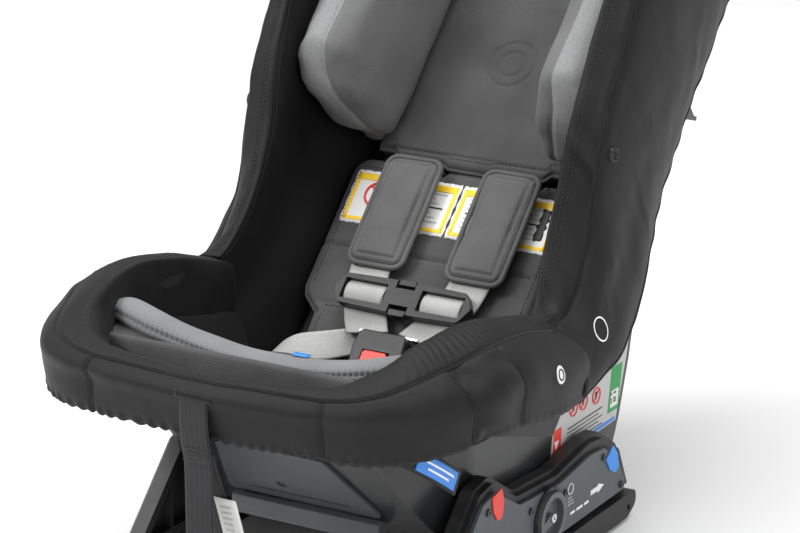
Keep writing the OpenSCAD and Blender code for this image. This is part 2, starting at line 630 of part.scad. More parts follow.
// Lever under the belly that frees the recline
module recline_lever() color("#3c3e42") place() across(-70, 70)
  polygon([[-215.5, 95.5], [-220, 93], [-222, 81], [-219, 77], [-214, 77], [-203.5, 84.5]]);

base_tray();
pod_left();
pod_right();
side_plate_left();
side_plate_right();
skirt_left();
skirt_right();
foot_pads();
plate_screws();
front_belt_guides();
rear_belt_guides();
knob_bezels();
recline_lock_bar();
knob_left();
knob_right();
knob_bolt_left();
knob_bolt_right();
seat_pan();
lower_shell();
belly_panel();
recline_runners();
side_labels();
wing_foam_left();
wing_foam_right();
wing_cover_left();
wing_cover_right();
rim_cover();
crown_cover();
back_pad();
back_lining();
seat_cushion();
buckle_strap();
lap_strap_left();
lap_strap_right();
hip_plates();
shoulder_strap_left();
shoulder_strap_right();
buckle_body();
buckle_tongues();
snap_studs();
adjuster_bezel();
adjuster_strap();
splitter_plate();
rear_webbing();
guide_rods();
headrest_core();
head_pad();
head_pillow_left();
head_pillow_right();
headrest_handle();
chest_clip();
clip_tab_top();
clip_tab_bottom();
shoulder_pad_left();
shoulder_pad_right();
buckle_button();
adjuster_lever();
recline_lever();
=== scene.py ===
import itertools
import json
import math
import bpy
import bmesh
import numpy as np
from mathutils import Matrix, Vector

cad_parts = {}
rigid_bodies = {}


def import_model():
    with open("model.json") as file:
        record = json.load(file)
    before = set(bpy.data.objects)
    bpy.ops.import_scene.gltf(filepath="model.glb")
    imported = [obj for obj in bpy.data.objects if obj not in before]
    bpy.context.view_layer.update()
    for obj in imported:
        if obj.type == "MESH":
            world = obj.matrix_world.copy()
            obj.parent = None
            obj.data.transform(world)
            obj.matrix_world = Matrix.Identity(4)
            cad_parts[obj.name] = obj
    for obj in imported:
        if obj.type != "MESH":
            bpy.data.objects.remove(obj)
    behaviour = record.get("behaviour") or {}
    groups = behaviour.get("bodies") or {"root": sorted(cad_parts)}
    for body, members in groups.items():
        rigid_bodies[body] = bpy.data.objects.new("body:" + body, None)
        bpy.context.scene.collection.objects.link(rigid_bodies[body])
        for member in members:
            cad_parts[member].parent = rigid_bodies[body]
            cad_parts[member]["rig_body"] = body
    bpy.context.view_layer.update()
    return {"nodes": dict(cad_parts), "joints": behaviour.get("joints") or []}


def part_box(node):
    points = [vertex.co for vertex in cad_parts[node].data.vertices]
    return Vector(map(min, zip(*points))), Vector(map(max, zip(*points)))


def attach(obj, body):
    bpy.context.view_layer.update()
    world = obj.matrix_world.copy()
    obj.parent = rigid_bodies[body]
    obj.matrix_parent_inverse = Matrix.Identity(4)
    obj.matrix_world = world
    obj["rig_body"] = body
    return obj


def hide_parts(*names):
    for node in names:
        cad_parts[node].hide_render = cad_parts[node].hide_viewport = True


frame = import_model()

NODES = frame["nodes"]
SCENE = bpy.context.scene
MM = 0.001
SIM_FRAMES = 20

# ---- local frames ---------------------------------------------------------
# The bight, where the back meets the seat, lies 32 mm in front of the recline axis.
RECLINE_AT = next(j["pos_m"] for j in frame["joints"] if j["name"] == "recline")
BIGHT = np.array(RECLINE_AT) - [0, 0.032, 0]
# The bight's place in the millimetres that the rim, the shell and the base are drawn in
BIGHT_Y, BIGHT_Z = -92, 172
RECLINE = math.radians(45)
SEAT_TILT = math.radians(18)
SIDES = {-1: "left", 1: "right"}


def from_bight(x, y, z):
    return BIGHT + MM * np.stack([x, y, z], -1)


def floats(*values):
    return np.broadcast_arrays(*(np.asarray(v, float) for v in values))


def back(x, l, d):
    """Point of the back, in millimetres: across, up the back and in front of it"""
    x, l, d = floats(x, l, d)
    return from_bight(x, l * math.sin(RECLINE) - d * math.cos(RECLINE),
                      l * math.cos(RECLINE) + d * math.sin(RECLINE))


def seat(x, s, h):
    """Point of the seat: across, forward of the bight and off the seat surface"""
    x, s, h = floats(x, s, h)
    return from_bight(x, -s * math.cos(SEAT_TILT) + h * math.sin(SEAT_TILT),
                      s * math.sin(SEAT_TILT) + h * math.cos(SEAT_TILT))


def level(x, y, z):
    """Point of the rim, shell or base: across, back and up"""
    x, y, z = floats(x, y, z)
    return from_bight(x, y - BIGHT_Y, z - BIGHT_Z)


ACROSS = np.array([1.0, 0, 0])
UP_BACK = np.array([0, math.sin(RECLINE), math.cos(RECLINE)])
OFF_BACK = np.array([0, -math.cos(RECLINE), math.sin(RECLINE)])


# ---- numbers --------------------------------------------------------------
def spline(points, count):
    """Smooth curve or surface rows through control points along the first axis"""
    p = np.asarray(points, float)
    t = np.linspace(0, len(p) - 1, count)
    i = np.minimum(t.astype(int), len(p) - 2)
    f = (t - i).reshape((-1,) + (1,) * (p.ndim - 1))
    e = np.concatenate([[2 * p[0] - p[1]], p, [2 * p[-1] - p[-2]]])
    a, b, c, d = e[i], e[i + 1], e[i + 2], e[i + 3]
    return b + 0.5 * f * (c - a + f * (2 * a - 5 * b + 4 * c - d + f * (3 * (b - c) + d - a)))


def even(points, count):
    """The same curve with its points at even distances"""
    p = np.asarray(points, float)
    s = lengths(p)
    t = np.linspace(0, s[-1], count)
    return np.stack([np.interp(t, s, p[:, k]) for k in range(p.shape[1])], -1)


def ramp(x, lo, hi):
    """Smooth step from 0 at lo to 1 at hi"""
    t = np.clip((np.asarray(x, float) - lo) / (hi - lo), 0, 1)
    return t * t * (3 - 2 * t)


def bump(x, centre, width):
    """Smooth hump of height 1"""
    return np.exp(-((np.asarray(x, float) - centre) / width) ** 2)


def lumps(points, size, seed=0):
    """Smooth noise from -1 to 1, with lumps of a size in metres"""
    q = np.asarray(points, float) / size + 13.7 * seed
    cell = np.floor(q)
    f = q - cell
    w = f * f * (3 - 2 * f)
    total = 0
    for corner in itertools.product((0, 1), repeat=3):
        c = np.array(corner)
        h = np.sin((cell + c) @ [127.1, 311.7, 74.7]) * 43758.5453
        total = total + (h - np.floor(h)) * np.prod(np.where(c, w, 1 - w), -1)
    return 2 * total - 1


def lengths(points):
    """Distance along a polyline up to each of its points"""
    return np.concatenate([[0], np.cumsum(np.linalg.norm(np.diff(points, axis=0), axis=1))])


def unit(v):
    """Vectors scaled to length 1"""
    return v / np.maximum(np.linalg.norm(v, axis=-1, keepdims=True), 1e-12)


def even_rows(rows, column, count):
    """The same surface with rows at even distances measured along one column, and those distances"""
    s = lengths(rows[:, column])
    pick = np.interp(np.linspace(0, s[-1], count), s, np.arange(len(s)))
    i = pick.astype(int).clip(0, len(rows) - 2)
    f = (pick - i)[:, None, None]
    return rows[i] * (1 - f) + rows[i + 1] * f, np.linspace(0, s[-1], count)


def grid_normals(p):
    return unit(np.cross(np.gradient(p, axis=0), np.gradient(p, axis=1)))


# ---- mesh building --------------------------------------------------------
def add_object(name, data):
    obj = bpy.data.objects.new(name, data)
    SCENE.collection.objects.link(obj)
    return obj


def add_mesh(name, verts, faces, uvs=None, smooth=True):
    mesh = bpy.data.meshes.new(name)
    mesh.from_pydata([tuple(v) for v in verts], [], faces)
    if uvs is not None:
        layer = mesh.uv_layers.new(name="metric")
        loops = np.zeros(len(mesh.loops), int)
        mesh.loops.foreach_get("vertex_index", loops)
        layer.data.foreach_set("uv", np.asarray(uvs, float)[loops].ravel())
    mesh.polygons.foreach_set("use_smooth", [smooth] * len(mesh.polygons))
    return add_object(name, mesh)


def cloth_grid(name, p, thick=0.0, out=None, wrap=False):
    """Surface through a grid of points, with a UV map in metres; out is a direction on its outer side"""
    rows, cols = p.shape[:2]
    if out is not None and (grid_normals(p) * np.asarray(out, float)).sum(-1).mean() < 0:
        p = p[::-1]
    du = np.linalg.norm(np.diff(p, axis=0), axis=-1).mean(1)
    dv = np.linalg.norm(np.diff(p, axis=1), axis=-1).mean(0)
    u = np.concatenate([[0], np.cumsum(du)])
    v = np.concatenate([[0], np.cumsum(dv)])
    uvs = np.stack(np.meshgrid(u, v, indexing="ij"), -1).reshape(-1, 2)
    faces = []
    for i in range(rows - 1):
        for j in range(cols - 1):
            a = i * cols + j
            faces.append((a, a + cols, a + cols + 1, a + 1))
        if wrap:
            a = i * cols
            faces.append((a + cols - 1, a + 2 * cols - 1, a + cols, a))
    obj = add_mesh(name, p.reshape(-1, 3), faces, uvs)
    if thick:
        solid = obj.modifiers.new("thickness", "SOLIDIFY")
        solid.thickness = thick
        solid.offset = -1
    return obj


def tube(name, path, radius, sides=8, closed=False, flat=1.0, up=None):
    """Round or flattened bead along a path"""
    path = np.asarray(path, float)
    if closed:
        tangent = np.roll(path, -1, 0) - np.roll(path, 1, 0)
    else:
        tangent = np.gradient(path, axis=0)
    tangent = unit(tangent)
    side = unit(np.cross(tangent, OFF_BACK if up is None else np.asarray(up, float)))
    over = np.cross(side, tangent)
    angle = np.linspace(0, 2 * math.pi, sides, endpoint=False)
    radius = np.broadcast_to(radius, len(path))[:, None, None]
    ring = side[:, None] * np.cos(angle)[:, None] + flat * over[:, None] * np.sin(angle)[:, None]
    p = path[:, None] + ring * radius
    n = len(path)
    faces = []
    for i in range(n if closed else n - 1):
        for j in range(sides):
            a, b = i * sides + j, i * sides + (j + 1) % sides
            c, d = (i + 1) % n * sides + (j + 1) % sides, (i + 1) % n * sides + j
            faces.append((a, b, c, d))
    if not closed:
        faces += [tuple(range(sides))[::-1], tuple(range((n - 1) * sides, n * sides))]
    return add_mesh(name, p.reshape(-1, 3), faces)


def join(name, objects):
    """One object from several, keeping their materials"""
    for o in SCENE.objects:
        o.select_set(False)
    for o in objects:
        o.select_set(True)
    bpy.context.view_layer.objects.active = objects[0]
    if len(objects) > 1:
        bpy.ops.object.join()
    objects[0].name = name
    return objects[0]


def stitches(name, path, off, period=3.4 * MM, radius=0.42 * MM, up=None):
    """Row of thread dashes along a path, lifted off the cloth by off"""
    path = np.asarray(path, float)
    s = lengths(path)
    lift = OFF_BACK if up is None else np.asarray(up, float)
    verts, faces = [], []
    ts = np.linspace(-1, 1, 5)
    angle = np.linspace(0, 2 * math.pi, 6, endpoint=False)
    for start in np.arange(0.4 * period, s[-1] - 0.4 * period, period):
        dist = start + ts * period * 0.33
        mid = np.stack([np.interp(dist, s, path[:, k]) for k in range(3)], -1)
        if lift.ndim > 1:
            raised = np.stack([np.interp(start, s, lift[:, k]) for k in range(3)])
        else:
            raised = lift
        raised = raised / np.linalg.norm(raised)
        along = mid[-1] - mid[0]
        along = along / max(np.linalg.norm(along), 1e-12)
        side = np.cross(along, raised)
        mid = mid + raised * off * (1 - 0.8 * ts ** 2)[:, None]
        base = len(verts)
        for k, centre in enumerate(mid):
            r = radius * (1 - 0.55 * ts[k] ** 2)
            verts += [centre + r * (side * math.cos(a) + raised * math.sin(a)) for a in angle]
        for k in range(len(ts) - 1):
            for j in range(6):
                a, b = base + 6 * k + j, base + 6 * k + (j + 1) % 6
                faces.append((a, b, b + 6, a + 6))
        faces.append(tuple(base + j for j in range(5, -1, -1)))
        faces.append(tuple(base + 6 * (len(ts) - 1) + j for j in range(6)))
    return add_mesh(name, verts, faces)


def slab(name, outline, place, depth, thickness):
    """Flat outline given a thickness; place(x, y, z) turns its millimetres into a point"""
    bm = bmesh.new()
    low = [bm.verts.new(place(x, y, depth)) for x, y in outline]
    top = [bm.verts.new(place(x, y, depth + thickness)) for x, y in outline]
    bm.faces.new(low[::-1])
    bm.faces.new(top)
    for i in range(len(outline)):
        j = (i + 1) % len(outline)
        bm.faces.new((low[i], low[j], top[j], top[i]))
    bmesh.ops.recalc_face_normals(bm, faces=bm.faces)
    mesh = bpy.data.meshes.new(name)
    bm.to_mesh(mesh)
    bm.free()
    return add_object(name, mesh)


def add_bevel(obj, width, steps=3):
    mod = obj.modifiers.new("rounded edges", "BEVEL")
    mod.width = width
    mod.segments = steps
    mod.limit_method = "ANGLE"
    mod.angle_limit = math.radians(35)
    mod.harden_normals = False
    obj.data.polygons.foreach_set("use_smooth", [True] * len(obj.data.polygons))
    weighted = obj.modifiers.new("face weights", "WEIGHTED_NORMAL")
    weighted.keep_sharp = True


def box(x0, x1, y0, y1, lean=0.0):
    """Outline of a rectangle whose far side is moved along by lean"""
    return [(x0, y0), (x1, y0), (x1 + lean, y1), (x0 + lean, y1)]


def rounded(corners, steps=5):
    """Outline of (x, y, radius) corners as points"""
    pts, n = [], len(corners)
    for i in range(n):
        p = np.array(corners[i][:2], float)
        a = np.array(corners[i - 1][:2], float) - p
        b = np.array(corners[(i + 1) % n][:2], float) - p
        r = corners[i][2]
        if r <= 0:
            pts.append(tuple(p))
            continue
        a, b = a / np.linalg.norm(a), b / np.linalg.norm(b)
        half = math.acos(np.clip(a @ b, -1, 1)) / 2
        start, end = p + a * r / math.tan(half), p + b * r / math.tan(half)
        for t in np.linspace(0, 1, steps + 1):
            q = (1 - t) ** 2 * start + 2 * t * (1 - t) * p + t * t * end
            pts.append(tuple(q))
    return pts


def soften(node, width, material):
    """Copy of a CAD node with rounded edges, which stands for it"""
    source = NODES[node]
    mesh = source.data.copy()
    obj = add_object(node + "_soft", mesh)
    bm = bmesh.new()
    bm.from_mesh(mesh)
    bmesh.ops.remove_doubles(bm, verts=bm.verts, dist=1e-5)
    bmesh.ops.dissolve_limit(bm, angle_limit=math.radians(4), verts=bm.verts, edges=bm.edges)
    bm.to_mesh(mesh)
    bm.free()
    if mesh.has_custom_normals:
        mesh.attributes.remove(mesh.attributes["custom_normal"])
    add_bevel(obj, width * MM)
    dress(obj, material)
    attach(obj, source["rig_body"])
    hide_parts(node)
    return obj


def dress(obj, material):
    obj.data.materials.clear()
    obj.data.materials.append(material)
    return obj


def put(obj, body, material=None, replaces=()):
    if material:
        dress(obj, material)
    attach(obj, body)
    if replaces:
        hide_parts(*replaces)
    return obj


def inflate(obj, voxel, pressure, cap, relax=3):
    """Swell a closed pad as filled cloth, never moving a point by more than cap millimetres"""
    remesh = obj.modifiers.new("remesh", "REMESH")
    remesh.mode = "VOXEL"
    remesh.voxel_size = voxel * MM
    apply_modifiers(obj)
    count = len(obj.data.vertices)
    before = np.zeros(count * 3, np.float32)
    obj.data.vertices.foreach_get("co", before)
    mod = obj.modifiers.new("cloth", "CLOTH")
    mod.settings.use_pressure = True
    mod.settings.uniform_pressure_force = pressure
    mod.settings.tension_stiffness = 15.0
    mod.settings.compression_stiffness = 15.0
    mod.settings.shear_stiffness = 5
    mod.settings.bending_stiffness = 0.5
    mod.settings.effector_weights.gravity = 0
    mod.settings.quality = 5
    mod.collision_settings.use_collision = False
    mod.point_cache.frame_start = 1
    mod.point_cache.frame_end = SIM_FRAMES
    for step in range(1, SIM_FRAMES + 1):
        SCENE.frame_set(step)
    apply_modifiers(obj)
    SCENE.frame_set(1)
    after = np.zeros(count * 3, np.float32)
    obj.data.vertices.foreach_get("co", after)
    move = (after - before).reshape(-1, 3)
    length = np.linalg.norm(move, axis=1, keepdims=True)
    move *= np.minimum(1, cap * MM / np.maximum(length, 1e-9))
    obj.data.vertices.foreach_set("co", (before.reshape(-1, 3) + move).ravel())
    smooth = obj.modifiers.new("smooth", "SMOOTH")
    smooth.factor = 0.5
    smooth.iterations = relax
    subdivide = obj.modifiers.new("subdivision", "SUBSURF")
    subdivide.levels = subdivide.render_levels = 1
    apply_modifiers(obj)
    obj.data.polygons.foreach_set("use_smooth", [True] * len(obj.data.polygons))
    return obj


def apply_modifiers(obj):
    bpy.context.view_layer.update()
    depsgraph = bpy.context.evaluated_depsgraph_get()
    mesh = bpy.data.meshes.new_from_object(obj.evaluated_get(depsgraph))
    obj.modifiers.clear()
    old = obj.data
    obj.data = mesh
    bpy.data.meshes.remove(old)


def vertices(obj):
    co = np.zeros(len(obj.data.vertices) * 3, np.float32)
    obj.data.vertices.foreach_get("co", co)
    return co.reshape(-1, 3).astype(float)


def set_vertices(obj, co):
    obj.data.vertices.foreach_set("co", np.asarray(co, np.float32).ravel())
    obj.data.update()


def mesh_normals(obj):
    n = np.zeros(len(obj.data.vertices) * 3, np.float32)
    obj.data.vertex_normals.foreach_get("vector", n)
    return n.reshape(-1, 3).astype(float)


# ---- materials ------------------------------------------------------------
class Graph:
    """Small builder for a node material"""

    def __init__(self, name, rough, metallic=0.0, **constants):
        self.material = bpy.data.materials.new(name)
        self.material.use_nodes = True
        self.nodes = self.material.node_tree.nodes
        self.links = self.material.node_tree.links
        self.shader = self.nodes["Principled BSDF"]
        self.shader.inputs["Roughness"].default_value = rough
        self.shader.inputs["Metallic"].default_value = metallic
        for key, value in constants.items():
            self.shader.inputs[key.replace("_", " ")].default_value = value
        self.coord = self.nodes.new("ShaderNodeTexCoord")
        self.heights = []

    def link(self, a, b):
        if hasattr(a, "links"):
            self.links.new(a, b)
        else:
            b.default_value = a

    def math(self, kind, a, b=0.0):
        node = self.nodes.new("ShaderNodeMath")
        node.operation = kind
        self.link(a, node.inputs[0])
        self.link(b, node.inputs[1])
        return node.outputs[0]

    def along(self, source, vector):
        node = self.nodes.new("ShaderNodeVectorMath")
        node.operation = "DOT_PRODUCT"
        self.links.new(source, node.inputs[0])
        node.inputs[1].default_value = tuple(vector)
        return node.outputs["Value"]

    def wave(self, source, vector, period):
        return self.math("SINE", self.along(source, np.asarray(vector, float) * 2 * math.pi / period))

    def noise(self, size, detail=3.0, rough=0.55, stretch=(1, 1, 1)):
        node = self.nodes.new("ShaderNodeTexNoise")
        mapping = self.nodes.new("ShaderNodeMapping")
        mapping.inputs["Scale"].default_value = stretch
        self.links.new(self.coord.outputs["Object"], mapping.inputs["Vector"])
        self.links.new(mapping.outputs[0], node.inputs["Vector"])
        node.inputs["Scale"].default_value = 1 / size
        node.inputs["Detail"].default_value = detail
        node.inputs["Roughness"].default_value = rough
        return node.outputs["Fac"]

    def mix(self, factor, a, b):
        node = self.nodes.new("ShaderNodeMix")
        node.data_type = "RGBA"
        self.link(factor, node.inputs["Factor"])
        for value, socket in ((a, node.inputs[6]), (b, node.inputs[7])):
            if hasattr(value, "links"):
                self.links.new(value, socket)
            else:
                socket.default_value = (*value, 1)
        return node.outputs[2]

    def span(self, value, lo, hi, out_lo=0.0, out_hi=1.0):
        node = self.nodes.new("ShaderNodeMapRange")
        node.inputs["From Min"].default_value = lo
        node.inputs["From Max"].default_value = hi
        node.inputs["To Min"].default_value = out_lo
        node.inputs["To Max"].default_value = out_hi
        self.links.new(value, node.inputs["Value"])
        return node.outputs[0]

    def raise_by(self, height, amount):
        """Add a height in metres to the bump"""
        self.heights.append(self.math("MULTIPLY", height, amount))

    def finish(self, color, rough=None):
        self.links.new(color, self.shader.inputs["Base Color"])
        if rough is not None:
            self.links.new(rough, self.shader.inputs["Roughness"])
        if self.heights:
            total = self.heights[0]
            for h in self.heights[1:]:
                total = self.math("ADD", total, h)
            node = self.nodes.new("ShaderNodeBump")
            node.inputs["Strength"].default_value = 1.0
            node.inputs["Distance"].default_value = 1.0
            self.links.new(total, node.inputs["Height"])
            self.links.new(node.outputs[0], self.shader.inputs["Normal"])
        return self.material


def cloth(name, color, period, weave="plain", depth=0.00005, rough=0.85, sheen=0.25,
          crease=0.0, fade=0.12, uv=False, gloss=0.2, gusset=None):
    """Woven cloth: threads, a little unevenness of colour, and fine creases"""
    g = Graph(name, rough, Sheen_Weight=sheen, Sheen_Roughness=0.45, Specular_IOR_Level=gloss)
    place = g.coord.outputs["UV" if uv else "Object"]
    axes = ((1, 0, 0), (0, 1, 0)) if uv else (ACROSS, UP_BACK, OFF_BACK)
    if weave == "twill":
        slant = sum(np.asarray(a, float) for a in axes)
        ribs = g.wave(place, slant, period)
        threads = g.math("MULTIPLY", g.wave(place, axes[0], period * 0.5), 0.35)
        weave_height = g.math("ADD", ribs, threads)
    elif weave == "herringbone":
        zig = g.math("ABSOLUTE", g.wave(place, axes[1], 0.0095))
        turned = g.math("ADD", g.along(place, np.array(axes[0]) * 2 * math.pi / period),
                        g.math("MULTIPLY", zig, 7.0))
        weave_height = g.math("SINE", turned)
    else:
        weave_height = g.wave(place, axes[0], period)
        for axis in axes[1:]:
            weave_height = g.math("ADD", weave_height, g.wave(place, axis, period))
    g.raise_by(weave_height, depth)
    if crease:
        g.raise_by(g.noise(0.03, 4, 0.6), crease)
    slub = g.noise(0.0022, 2, 0.6)
    patch = g.noise(0.05, 3, 0.5)
    dark = tuple(c * (1 - 2.2 * fade) for c in color)
    light = tuple(min(1, c * (1 + fade)) for c in color)
    tone = g.mix(g.span(patch, 0.35, 0.65), dark, light)
    if gusset:
        tone = g.mix(g.span(pillow_seam(g), -0.0004, 0.0004), tone, gusset)
    tone = g.mix(g.span(slub, 0.3, 0.75, 0.0, 0.45), tone, dark)
    # darker in the gaps between the threads: painted shade
    tone = g.mix(g.span(weave_height, -2, 1.2, 0.3, 0.0), tone, dark)
    return g.finish(tone, g.span(patch, 0.2, 0.8, rough - 0.06, min(1, rough + 0.05)))


def plastic(name, color, rough=0.5, grain=0.0006, depth=0.00002, coat=0.0, scuff=0.06, fade=0.06):
    """Moulded plastic: spark texture, faint swirls and rubbed patches"""
    g = Graph(name, rough, Coat_Weight=coat, Coat_Roughness=0.25, IOR=1.48, Specular_IOR_Level=0.28)
    g.raise_by(g.noise(grain, 2, 0.5), depth)
    g.raise_by(g.noise(0.06, 2, 0.4), 0.0001)
    smear = g.noise(0.035, 5, 0.65)
    scratches = g.noise(0.004, 6, 0.8, stretch=(1, 9, 1))
    light = tuple(min(1, c + fade * 0.3 + 0.004) for c in color)
    tone = g.mix(g.span(smear, 0.35, 0.7), color, light)
    tone = g.mix(g.span(scratches, 0.66, 0.78, 0, 0.35), tone, tuple(min(1, c + 0.05) for c in color))
    return g.finish(tone, g.span(smear, 0.3, 0.75, rough - scuff, rough + scuff))


def metal(name, color, rough=0.3, brushed=(1, 1, 1)):
    """Metal with fine brush lines and faint stains"""
    g = Graph(name, rough, metallic=1.0)
    lines = g.noise(0.0012, 4, 0.7, stretch=brushed)
    g.raise_by(lines, 0.00001)
    stain = g.noise(0.02, 4, 0.6)
    tone = g.mix(g.span(stain, 0.3, 0.75), color, tuple(c * 0.82 for c in color))
    return g.finish(tone, g.span(lines, 0.25, 0.8, rough - 0.07, rough + 0.1))


def film(name, color):
    """Printed film or woven label"""
    rough = 0.45
    g = Graph(name, rough, Specular_IOR_Level=0.4)
    fibres = g.noise(0.0008, 3, 0.6)
    g.raise_by(fibres, 0.00002)
    tone = g.mix(g.span(fibres, 0.3, 0.7), color, tuple(c * 0.93 for c in color))
    return g.finish(tone, g.span(g.noise(0.01), 0.3, 0.7, rough - 0.05, rough + 0.08))


# The seam between a pillow's face and its gusset: this far across at the back, leaning outward up to a depth
PILLOW_SEAM_X, PILLOW_SLOPE, PILLOW_DEPTH = 82, 0.283, 95


def pillow_seam(g):
    """Distance outward from the seam between a pillow's face and its paler gusset"""
    place = g.coord.outputs["Object"]
    depth = g.math("SUBTRACT", g.along(place, OFF_BACK), float(BIGHT @ OFF_BACK))
    line = g.math("ADD", g.math("MULTIPLY", g.math("MINIMUM", depth, PILLOW_DEPTH * MM), PILLOW_SLOPE),
                  PILLOW_SEAM_X * MM)
    return g.math("SUBTRACT", g.math("ABSOLUTE", g.along(place, ACROSS)), line)


NYLON = cloth("black_nylon", (0.0075, 0.0077, 0.0085), 0.0011, depth=0.000035, rough=0.55, sheen=0.03,
              crease=0.0007, fade=0.1, uv=True, gloss=0.22)
LINING = cloth("black_lining", (0.0065, 0.0065, 0.007), 0.0013, depth=0.00004, rough=0.75, sheen=0.03,
               crease=0.0006, uv=True, gloss=0.15)
CHARCOAL = cloth("charcoal_knit", (0.068, 0.068, 0.070), 0.0012, depth=0.00004, rough=0.8, sheen=0.08,
                 crease=0.0002)
GREY_TWILL = cloth("grey_twill", (0.14, 0.141, 0.142), 0.0019, "twill", depth=0.00009, rough=0.85,
                   sheen=0.08, gusset=(0.27, 0.272, 0.276), crease=0.0002, fade=0.07)
PAD_TWILL = cloth("pad_twill", (0.108, 0.108, 0.11), 0.0019, "twill", depth=0.0001, rough=0.85,
                  sheen=0.08, crease=0.0002, fade=0.08)
PALE_GREY = cloth("pale_grey_jersey", (0.19, 0.192, 0.196), 0.0012, depth=0.00004, rough=0.85, sheen=0.1,
                  crease=0.0003, fade=0.06)
BINDING = cloth("grey_binding", (0.078, 0.078, 0.08), 0.0009, depth=0.00004, rough=0.85, sheen=0.08)
BINDING_LIGHT = cloth("light_binding", (0.105, 0.105, 0.107), 0.0009, depth=0.00004, rough=0.85, sheen=0.08)
WEBBING = cloth("pale_webbing", (0.42, 0.42, 0.41), 0.0016, "herringbone", depth=0.00009, rough=0.55,
                sheen=0.15, fade=0.1, uv=True)
BLACK_WEBBING = cloth("black_webbing", (0.022, 0.022, 0.024), 0.0016, "herringbone", depth=0.0001,
                      rough=0.6, sheen=0.15, fade=0.15, uv=True)
THREAD_BLACK = cloth("black_thread", (0.012, 0.012, 0.013), 0.0006, depth=0.00004, rough=0.6)
THREAD_GREY = cloth("grey_thread", (0.035, 0.035, 0.036), 0.0006, depth=0.00004, rough=0.7)
# near-black cloth: painted shade in the seam grooves, the wing folds and the adjuster slit, and also the real
# printed ring of the roundels
SHADE_AND_PRINT_BLACK = cloth("seam_shade_and_print_black", (0.006, 0.006, 0.0065), 0.0008, depth=0.00003, rough=0.9)
POD_BLACK = plastic("pod_black", (0.010, 0.0103, 0.0115), 0.42, grain=0.0007, depth=0.00004)
SHELL_GLOSS = plastic("shell_satin", (0.017, 0.0178, 0.0195), 0.24, depth=0.000004, coat=0.25, scuff=0.0,
                      fade=0.02)
BELLY_GREY = plastic("belly_satin", (0.055, 0.058, 0.063), 0.34, depth=0.00001, coat=0.05)
SLATE = plastic("slate_plate", (0.06, 0.068, 0.077), 0.36, depth=0.00001, coat=0.05)
HARNESS_BLACK = plastic("harness_black", (0.010, 0.010, 0.011), 0.34, grain=0.0005, depth=0.00003)
KNOB_GREY = plastic("knob_grey", (0.085, 0.088, 0.094), 0.33, depth=0.00001, coat=0.1)
RED = plastic("red_plastic", (0.72, 0.06, 0.045), 0.35, depth=0.00001, fade=0.02)
BLUE = plastic("blue_plastic", (0.04, 0.24, 0.72), 0.35, depth=0.00001, fade=0.02)
RUBBER = plastic("foot_rubber", (0.012, 0.012, 0.012), 0.8, grain=0.001, depth=0.00006)
STEEL = metal("brushed_steel", (0.58, 0.585, 0.6), 0.3, brushed=(1, 14, 1))
CHROME = metal("chrome", (0.78, 0.78, 0.8), 0.14)
STEEL_DARK = metal("dark_steel", (0.09, 0.09, 0.1), 0.35)
PAPER = film("white_film", (0.72, 0.72, 0.70))
SILVER_FILM = film("grey_film", (0.50, 0.50, 0.49))
YELLOW_FILM = film("yellow_film", (0.85, 0.55, 0.02))
RED_FILM = film("red_film", (0.75, 0.05, 0.04))
GREEN_FILM = film("green_film", (0.02, 0.30, 0.08))
BLUE_FILM = film("blue_film", (0.03, 0.22, 0.68))
INK = film("black_ink", (0.02, 0.02, 0.02))
WHITE_PRINT = film("white_print", (0.82, 0.82, 0.82))


# ---- camera, light and floor ----------------------------------------------
def make_camera():
    data = bpy.data.cameras.new("camera")
    camera = add_object("camera", data)
    data.sensor_width = 36.0
    data.lens = 148.2
    azimuth, elevation, distance = math.radians(30.44), math.radians(17.81), 2.822
    toward = Vector((math.sin(azimuth) * math.cos(elevation),
                     -math.cos(azimuth) * math.cos(elevation), math.sin(elevation)))
    camera.location = Vector((-0.0394, 0.0046, 0.218)) + toward * distance
    camera.rotation_euler = toward.to_track_quat("Z", "Y").to_euler()
    SCENE.camera = camera


def make_light(name, place, size, power):
    """Area light that faces the seat"""
    data = bpy.data.lights.new(name, "AREA")
    data.size = size
    data.energy = power
    lamp = add_object(name, data)
    lamp.location = place
    lamp.rotation_euler = (Vector((0, 0, 0.25)) - Vector(place)).to_track_quat("-Z", "Y").to_euler()


def make_studio():
    make_light("key_light", (-1.5, -1.7, 2.3), 1.3, 75)
    make_light("fill_light", (2.3, -1.3, 1.3), 1.6, 22)
    make_light("top_light", (0.2, 0.3, 2.9), 1.8, 62)
    world = bpy.data.worlds.new("studio")
    SCENE.world = world
    world.use_nodes = True
    world.node_tree.nodes["Background"].inputs[0].default_value = (1, 1, 1, 1)
    world.node_tree.nodes["Background"].inputs[1].default_value = 0.58
    size = 9.0
    floor = add_mesh("floor", [(-size, -size, 0), (size, -size, 0), (size, size, 0), (-size, size, 0)],
                     [(0, 1, 2, 3)], smooth=False)
    g = Graph("pale_floor", 0.9)
    dress(floor, g.finish(g.mix(g.span(g.noise(0.4), 0.3, 0.7), (0.86, 0.86, 0.86), (0.84, 0.84, 0.84))))


